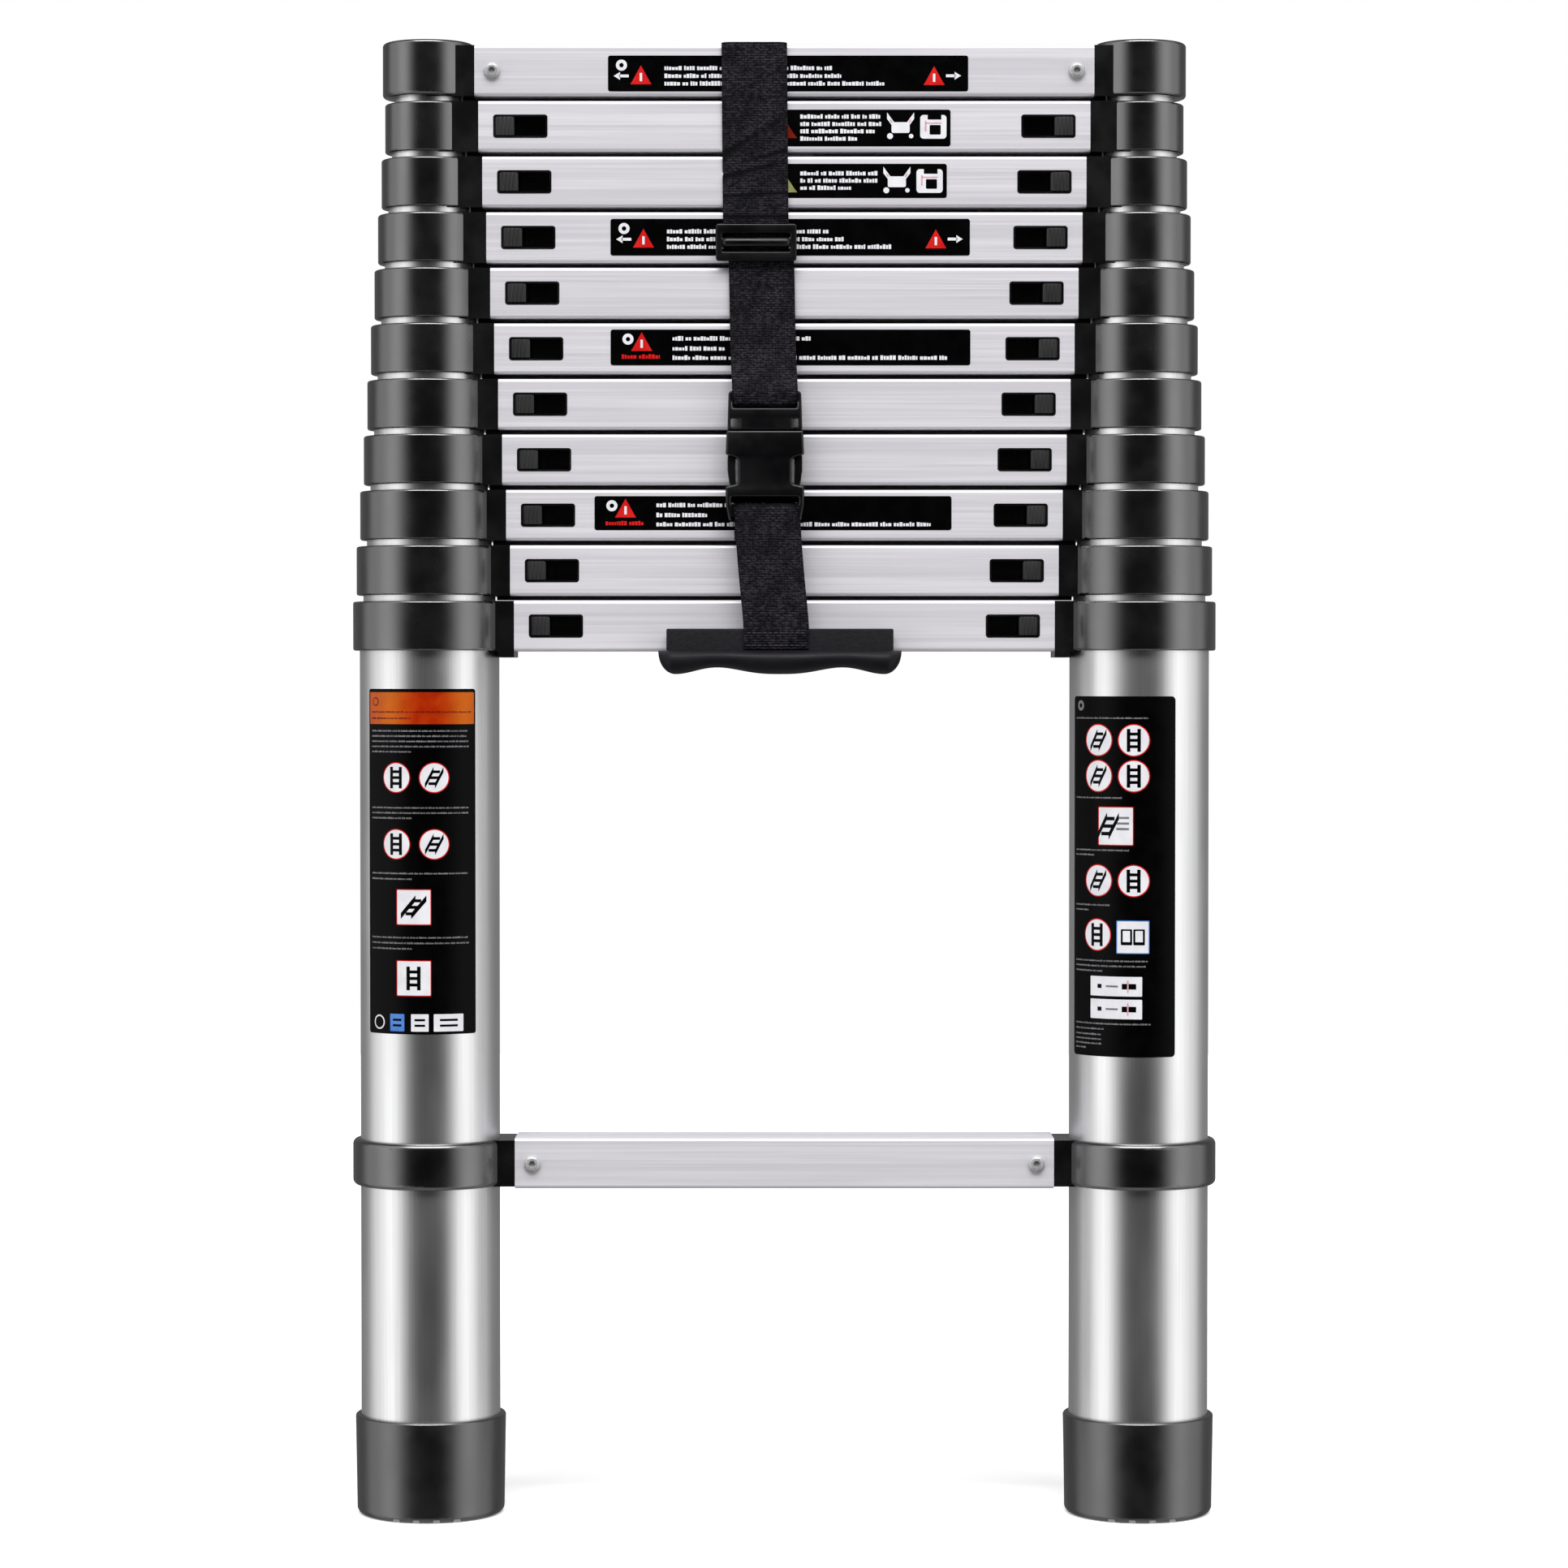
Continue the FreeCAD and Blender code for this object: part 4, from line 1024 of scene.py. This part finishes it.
FOLDS_TOP = 0.795
FOLDS_FADE = 12 * MM
CREASES = [
    (0.7525, 0.62, 2.6, 1.3, 1), (0.7385, 0.3, 2.0, 0.9, -1), (0.7335, 0.24, 2.2, 1.1, 1),
    (0.7195, 0.05, 1.8, 0.7, 0), (0.7075, 0.0, 1.6, 0.8, 0),
]


def soft_creases(point, across):
    """Slight waves in the webbing, with slanting folds over the upper rungs. Never negative.

    A fold is a height at the strap's middle, its slant, its reach and rise in millimetres, and the
    side on which it is strongest: 1 for the right, -1 for the left, 0 for both.
    """
    if point.y > 0 or point.z > FOLDS_TOP:
        return 0.0
    wave = noise.noise(Vector((across * 45, point.y * 40, point.z * 60)))
    height = 0.35 * MM * (0.5 + wave)
    for z, slant, reach, rise, side in CREASES:
        distance = (point.z - z - slant * across) / MM
        strength = 0.75 - 0.5 * side * across / (STRAP_WIDE / 2)
        height += rise * MM * strength * math.exp(-((distance / reach) ** 2))
    return max(height, 0.0) * min(1.0, (FOLDS_TOP - point.z) / FOLDS_FADE)


def no_creases(point, across):
    return 0.0


def level_turn(points, centre_y, centre_z, radius, start, end, x, steps=5):
    """Adds points on an arc about X, from one angle to another; 0 faces the front and 90 up."""
    for step in range(steps + 1):
        angle = math.radians(start + (end - start) * step / steps)
        points.append((x, centre_y - radius * math.cos(angle), centre_z + radius * math.sin(angle)))


def add_main_strap():
    """From behind the handle, under the rungs, up the back, over the top and down to the adjuster."""
    corner = 3.2 * MM
    points = [
        (lean(HANDLE_TOP), STRAP_FRONT, HANDLE_TOP - 2 * MM),
        (lean(HANDLE_SEAM), STRAP_FRONT, HANDLE_SEAM + 8 * MM),
    ]
    low = STRAP_BOTTOM + corner
    high = STRAP_TOP - corner
    level_turn(points, STRAP_FRONT + corner, low, corner, 0, -90, lean(low))
    level_turn(points, STRAP_BACK - corner, low, corner, -90, -180, lean(low))
    for share in (0.2, 0.4, 0.6, 0.8):
        z = low + (high - low) * share
        points.append((lean(low) + (lean(high) - lean(low)) * share, STRAP_BACK, z))
    level_turn(points, STRAP_BACK - corner, high, corner, 180, 90, lean(high))
    level_turn(points, STRAP_FRONT + corner, high, corner, 90, 0, lean(high))
    for z in UPPER_HEIGHTS:
        points.append((lean(z), STRAP_FRONT, z))
    for rise in (6.0, -4.6):
        points.append((lean(ADJUSTER_MIDDLE), STRAP_FRONT, ADJUSTER_MIDDLE + rise * MM))
    points.reverse()
    strap_piece("strap_webbing_round_rungs", points, soft_creases, TOP_BODY, ["strap_webbing"])


def add_middle_strap():
    """From behind the adjuster down to the tongue, in through its slot and up behind its bar."""
    start = ADJUSTER_MIDDLE - 4.0 * MM
    bar = TONGUE_HIGH - 4.0 * MM
    front = BUCKLE_FRONT + 2.6 * MM
    points = [(lean(start), STRAP_FRONT, start), (lean(start - 0.006), STRAP_FRONT, start - 6 * MM)]
    for z, ahead in zip(MIDDLE_HEIGHTS, (0.8, 3.2)):
        points.append((lean(z), STRAP_FRONT - ahead * MM, z))
    points.append((BUCKLE_X, front - 0.2 * MM, TONGUE_HIGH + 1.5 * MM))
    level_turn(points, front + BAR_TURN, bar - 1.0 * MM, BAR_TURN, 0, -180, BUCKLE_X)
    points.append((BUCKLE_X, front + 2 * BAR_TURN - 0.4 * MM, TONGUE_HIGH + 4 * MM))
    points.reverse()
    piece = strap_piece("strap_webbing_to_tongue", points, no_creases, TOP_BODY)
    squash_to_adjuster(piece)


def squash_to_adjuster(piece):
    """Gives the piece a mesh of its own; nothing shortens the stretch above the tongue."""
    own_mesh(piece)


def add_lower_strap():
    """From behind the socket's bar, round it, and down the front of the handle's plate."""
    bar = SOCKET_LOW + 5.2 * MM
    front = BUCKLE_FRONT + 2.4 * MM
    x = lean(SOCKET_LOW)
    plate = PLATE_FRONT - STRAP_THICK * 0.5
    points = [(x, front + 2 * BAR_TURN, bar - 16 * MM)]
    level_turn(points, front + BAR_TURN, bar, BAR_TURN, 180, 0, x)
    for z, y in zip(LOWER_HEIGHTS, (front - 0.4 * MM, (front + plate) / 2)):
        points.append((lean(z), y, z))
    for rise in (4, -4):
        points.append((lean(HANDLE_TOP), plate, HANDLE_TOP + rise * MM))
    points.append((lean(HANDLE_SEAM), plate + 0.2 * MM, HANDLE_SEAM + 0.6 * MM))
    points.reverse()
    strap_piece("strap_webbing_to_handle", points, no_creases, TOP_BODY)


def add_adjuster():
    """A slide: a frame with two slots that the webbing passes behind, and a round middle bar."""
    half = ADJUSTER_TALL / 2
    outlines = [rectangle(-21.8, 21.8, -half, half, 1.6)]
    for low, high in ((2.2, 5.0), (-5.0, -2.2)):
        outlines.append(rectangle(-18.4, 18.4, low, high, 0.8))
    centre = (ADJUSTER_X, HARDWARE_BACK - ADJUSTER_DEEP / 2 * MM, ADJUSTER_MIDDLE)
    flat = slab("adjuster_frame", outlines, centre, ADJUSTER_DEEP, 0.8, BUCKLE)
    rings = []
    left_end = ((-18.0, 1.6), (-17.46, 2.3), (-16.2, 2.7))
    right_end = ((16.2, 2.7), (17.46, 2.3), (18.0, 1.6))
    for reach, radius in left_end + right_end:
        x = ADJUSTER_X + reach * MM
        rings.append(round_ring(x, centre[1] - 1.0 * MM, centre[2], radius * MM, 24))
    mesh = join("strap_adjuster", [flat, loft("adjuster_bar", rings, BUCKLE)])
    new_piece("strap_adjuster", mesh, TOP_BODY)


def cut_from_buckle(mesh, half_wide, front, back, low, high):
    """The mesh without a box about the buckle's middle, half_wide millimetres to each side."""
    left, right = BUCKLE_X - half_wide * MM, BUCKLE_X + half_wide * MM
    sides = ((left, front), (right, front), (right, back), (left, back))
    corners = [(x, y, z) for z in (low, high) for x, y in sides]
    faces = [(3, 2, 1, 0), (4, 5, 6, 7), (0, 1, 5, 4), (1, 2, 6, 5), (2, 3, 7, 6), (3, 0, 4, 7)]
    return cut(mesh, mesh_of("cutter", corners, faces, BUCKLE))


def add_socket():
    """The buckle's socket: a hollow shell with a window at each side, and a bar that holds webbing."""
    half = SOCKET_TALL / 2
    reach = 21.2
    inner = 14.4
    mouth = 18.2
    window_low = 18.1 - half
    window_high = 35.5 - half
    right = [
        (19.6, -half, 1.4), (reach, -half + 8, 2), (reach, window_low, 1.2),
        (inner, window_low + 1.5, 1.8), (inner, window_high - 2.5, 2.6),
        (reach, window_high, 1.0), (reach - 0.6, half, 1.2),
    ]
    outlines = [mirrored(right), rectangle(-mouth, mouth, -half + 8.4, -half + 12.4, 1.2)]
    centre = (BUCKLE_X, BUCKLE_MIDDLE, SOCKET_LOW + half * MM)
    mesh = slab("buckle_socket", outlines, centre, BUCKLE_DEEP, 1.4, BUCKLE)
    for half_wide, front, back, low, high in (
        (20.4, BUCKLE_MIDDLE - 2.8 * MM, BUCKLE_MIDDLE + 2.8 * MM, 14.5, SOCKET_TALL + 5),
        (mouth, BUCKLE_FRONT - MM, HARDWARE_BACK + MM, -1, 2.2),
        (mouth, BUCKLE_FRONT - MM, BUCKLE_FRONT + 2.6 * MM, 1, 9),
    ):
        low_z, high_z = SOCKET_LOW + low * MM, SOCKET_LOW + high * MM
        mesh = cut_from_buckle(mesh, half_wide, front, back, low_z, high_z)
    mesh.name = "buckle_socket"
    new_piece("buckle_socket", mesh, TOP_BODY, ["strap_buckle"])


def add_tongue():
    """The buckle's tongue: a bar frame for the webbing, two spring prongs and a guide."""
    seam = SOCKET_HIGH + 0.4 * MM
    half = (TONGUE_HIGH - seam) / 2 / MM
    outlines = [
        [(-20.2, -half, 0.8), (20.2, -half, 0.8), (19.6, half, 2.2), (-19.6, half, 2.2)],
        rectangle(-18.0, 18.0, half - 9.3, half - 5.0, 1.0),
        rectangle(-18.4, -13.4, -half + 1.4, -half + 6.2, 0.9),
        rectangle(14.6, 17.9, -half + 1.4, -half + 6.2, 0.9),
    ]
    centre = (BUCKLE_X, BUCKLE_MIDDLE, seam + half * MM)
    head = slab("tongue_head", outlines, centre, BUCKLE_DEEP, 1.0, BUCKLE)
    recess_low = TONGUE_HIGH - 7 * MM
    recess_back = BUCKLE_FRONT + 3.4 * MM
    pieces = [cut_from_buckle(head, 18.0, BUCKLE_FRONT - MM, recess_back, recess_low, TONGUE_HIGH + MM)]
    tall = (seam - _tongue_low.z) / MM + 1.0
    right = [
        (15.6, 0, 1.0), (17.8, 0.2, 1.4), (19.4, 7, 6), (20.2, 13, 5), (20.2, 20.5, 1.5),
        (17.8, 22.5, 1), (17.8, tall, 0), (15.0, tall, 0), (16.0, 15, 3),
    ]
    left = [(-x, z, corner) for x, z, corner in reversed(right)]
    foot = (BUCKLE_X, BUCKLE_MIDDLE, _tongue_low.z)
    for outline in (right, left, rectangle(-2.4, 2.4, 10, tall, 0.8)):
        pieces.append(slab("prong", [outline], foot, 4.8, 0.6, BUCKLE))
    mesh = join("buckle_tongue_halves", pieces)
    new_piece("buckle_tongue_and_prongs", mesh, "buckle_tongue", ["buckle_tongue"])


def add_handle():
    """A cloth-covered plate that the strap lies on, and below it a rubber grip with a wavy underside."""
    low = HANDLE_SEAM - 3 * MM
    half = (HANDLE_TOP - low) / 2 / MM
    centre = (HANDLE_X, (HARDWARE_BACK + PLATE_FRONT) / 2, (HANDLE_TOP + low) / 2)
    outline = rectangle(-61.3, 61.3, -half, half, 1.0)
    plate = slab("handle_plate", [outline], centre, PLATE_DEEP, 0.9, PLATE)
    new_piece("handle_plate", plate, TOP_BODY, ["carry_handle"])
    new_piece("handle_grip", grip_mesh("handle_grip"), TOP_BODY)
    add_stitches()


GRIP_STRAIGHT = 0.86
GRIP_HOLLOW = 3.6 * MM


def grip_mesh(name):
    """The grip: a rounded bar whose underside bulges at its middle and at both ends."""
    reach = (_handle_high.x - _handle_low.x) / 2
    lowest = _handle_low.z
    rings = []
    for even_share in shares(72):
        share = math.sin(math.pi / 2 * even_share)
        x = HANDLE_X + share * reach
        near_end = abs(share)
        wave = 0.5 - 0.5 * math.cos(2 * math.pi * min(near_end / GRIP_STRAIGHT, 1) ** 1.35)
        under = lowest + GRIP_HOLLOW * wave
        if near_end > GRIP_STRAIGHT:
            turn = (near_end - GRIP_STRAIGHT) / (1 - GRIP_STRAIGHT)
            rise = 1 - math.sqrt(max(1 - turn**2, 0.0))
            under = lowest + (HANDLE_SEAM - 1.2 * MM - lowest) * rise
        front = _handle_low.y + 1.6 * MM * wave + 5 * MM * max(near_end - 0.9, 0) / 0.1 * near_end
        rings.append(grip_ring(x, front, HARDWARE_BACK, under))
    return loft(name, rings, GRIP)


def grip_ring(x, front, back, under, count=28, power=2.6):
    """A rounded section of the grip, flatter on top than a full oval."""
    middle_y = (front + back) / 2
    half_deep = (back - front) / 2
    tall = HANDLE_SEAM - under
    middle_z = under + tall * 0.55
    ring = []
    for j in range(count):
        angle = 2 * math.pi * j / count
        along, up = math.cos(angle), math.sin(angle)
        reach_up = tall * 0.45 if up > 0 else tall * 0.55
        y = middle_y + half_deep * math.copysign(abs(along) ** (2 / power), along)
        z = middle_z + reach_up * math.copysign(abs(up) ** (2 / power), up)
        ring.append((x, y, z))
    return ring


def add_stitches():
    """Thread on the webbing where it is sewn to the handle's plate: two rows of short stitches."""
    face = PLATE_FRONT - STRAP_THICK
    middle = lean(HANDLE_TOP)
    meshes = []
    for row in (HANDLE_TOP - 2.4 * MM, HANDLE_SEAM + 2.6 * MM):
        for number in range(11):
            meshes.append(stitch_mesh(middle + (number - 5) * 2.9 * MM, face, row))
    new_piece("handle_stitches", join("handle_stitches", meshes), TOP_BODY)


def stitch_mesh(x, y, z, long=2.1 * MM, radius=0.32 * MM):
    """One stitch: a short bead of thread lying along X, half sunk in the webbing."""
    rings = []
    for share in (-1, -0.8, -0.4, 0, 0.4, 0.8, 1):
        thick = radius * math.sqrt(max(1 - share**4, 0.02))
        rings.append(round_ring(x + share * long / 2, y, z, thick, 8))
    return loft("stitch", rings, THREAD)


# ---------------------------------------------------------------- camera, floor and light

CAMERA_DISTANCE = 2.5
EYE_HEIGHT = 0.46
CAMERA_ASIDE = -0.0002
PICTURE_MIDDLE = 0.3989
PICTURE_TALL = 0.8566
FRONT_BOX_PLACE = (0, -7.8, 12.96)
FRONT_BOX_TARGET = (0, 0, 0.42)
FRONT_BOX_SIZE = (14.7, 6.9)
FRONT_BOX_POWER = 3350
SIDE_LIGHT = 1.68
OUTER_SHARE = 0.6
BACK_LIGHT = 0.22
FRONT_LIGHT = 0.006
CEILING_LIGHT = 0.55
FLOOR_GLOW = 0.6


def add_camera():
    """The view: straight at the ladder's front, and slightly down at its middle."""
    data = bpy.data.cameras.new("camera")
    camera = new_object("camera", data)
    camera.location = (CAMERA_ASIDE, -CAMERA_DISTANCE, EYE_HEIGHT)
    target = Vector((CAMERA_ASIDE, 0, PICTURE_MIDDLE))
    camera.rotation_euler = facing(camera.location, target)
    data.sensor_width = 36
    data.lens = data.sensor_width * CAMERA_DISTANCE / PICTURE_TALL
    bpy.context.scene.camera = camera


def facing(place, target):
    """The turn of a camera or light at one place that looks at another."""
    return (Vector(target) - Vector(place)).to_track_quat("-Z", "Y").to_euler()


def add_front_light():
    """A wide soft box high above the front, which lights the faces of the rungs."""
    data = bpy.data.lights.new("front_box", "AREA")
    data.shape = "RECTANGLE"
    data.size, data.size_y = FRONT_BOX_SIZE
    data.energy = FRONT_BOX_POWER
    light = new_object("front_box", data)
    light.location = FRONT_BOX_PLACE
    light.rotation_euler = facing(FRONT_BOX_PLACE, FRONT_BOX_TARGET)
    light.visible_camera = False


def add_floor():
    """A pale floor, which neither lights the ladder nor shows in it."""
    mesh = bpy.data.meshes.new("floor")
    reach = 3.0
    corners = [(-reach, -reach, 0), (reach, -reach, 0), (reach, reach, 0), (-reach, reach, 0)]
    mesh.from_pydata(corners, [], [(0, 1, 2, 3)])
    floor = new_object("floor", mesh)
    made = Finish("pale_floor", Specular_IOR_Level=0.0, Emission_Strength=0.25)
    patch = made.cloud(made.place(), 0.004, 2.0)
    made.colour(made.span(patch, 0, 1), (0.93, 0.93, 0.93), (0.95, 0.95, 0.95))
    made.roughness(patch, 0.8, 0.9)
    mesh.materials.append(made.material)
    floor.visible_glossy = False
    floor.visible_diffuse = False


def add_world():
    """White to the eye. What it lights sees a dark studio instead, with a broad soft light at each
    side, a dim wall behind, a ceiling lit over the front and a glow from straight below."""
    world = bpy.data.worlds.new("studio")
    studio = Nodes(world)
    way = studio.add("TexCoord", {}, "Generated")
    level = studio.add("VectorMath", {0: way, 1: (1, 1, 0)}, "Vector", operation="MULTIPLY")
    level = studio.add("VectorMath", {0: level}, "Vector", operation="NORMALIZE")
    backward = studio.add("SeparateXYZ", {"Vector": level}, "Y")
    upward = studio.add("SeparateXYZ", {"Vector": way}, "Z")
    beside = studio.span(backward, FRONT_LIGHT, SIDE_LIGHT, -0.92, -0.5)
    outer = studio.span(backward, 0, SIDE_LIGHT * (1 - OUTER_SHARE), -0.42, -0.02)
    behind = studio.span(backward, 0, SIDE_LIGHT * OUTER_SHARE - BACK_LIGHT, 0.2, 0.5)
    round_about = studio.math("SUBTRACT", studio.math("SUBTRACT", beside, outer), behind)
    ceiling = studio.span(upward, 0, 1, 0.72, 0.86)
    below = studio.span(upward, 1, 0, -0.8, -0.55)
    neither = studio.math("SUBTRACT", studio.math("SUBTRACT", 1.0, ceiling), below)
    wall = studio.math("MULTIPLY", round_about, neither)
    over_front = studio.span(backward, CEILING_LIGHT, 0, -0.4, 0.4)
    roof = studio.math("MULTIPLY", ceiling, over_front)
    glow = studio.math("MULTIPLY", below, FLOOR_GLOW)
    lit = studio.math("ADD", wall, studio.math("ADD", roof, glow))
    seen = studio.add("LightPath", {}, "Is Camera Ray")
    strength = studio.math("MAXIMUM", lit, seen)
    studio.tree.nodes["Background"].inputs["Color"].default_value = (1, 1, 1, 1)
    studio.feed(studio.tree.nodes["Background"].inputs["Strength"], strength)
    bpy.context.scene.world = world
    bpy.context.scene.view_settings.view_transform = "Standard"


finish_cad_nodes()
add_buttons()
# Dark strips that paint shade into the gaps between the rungs.
add_gap_shade_strips()
add_rung_labels()
add_left_tube_label()
add_right_tube_label()
add_main_strap()
add_middle_strap()
add_lower_strap()
add_adjuster()
add_socket()
add_tongue()
add_handle()
add_camera()
add_floor()
add_world()
add_front_light()
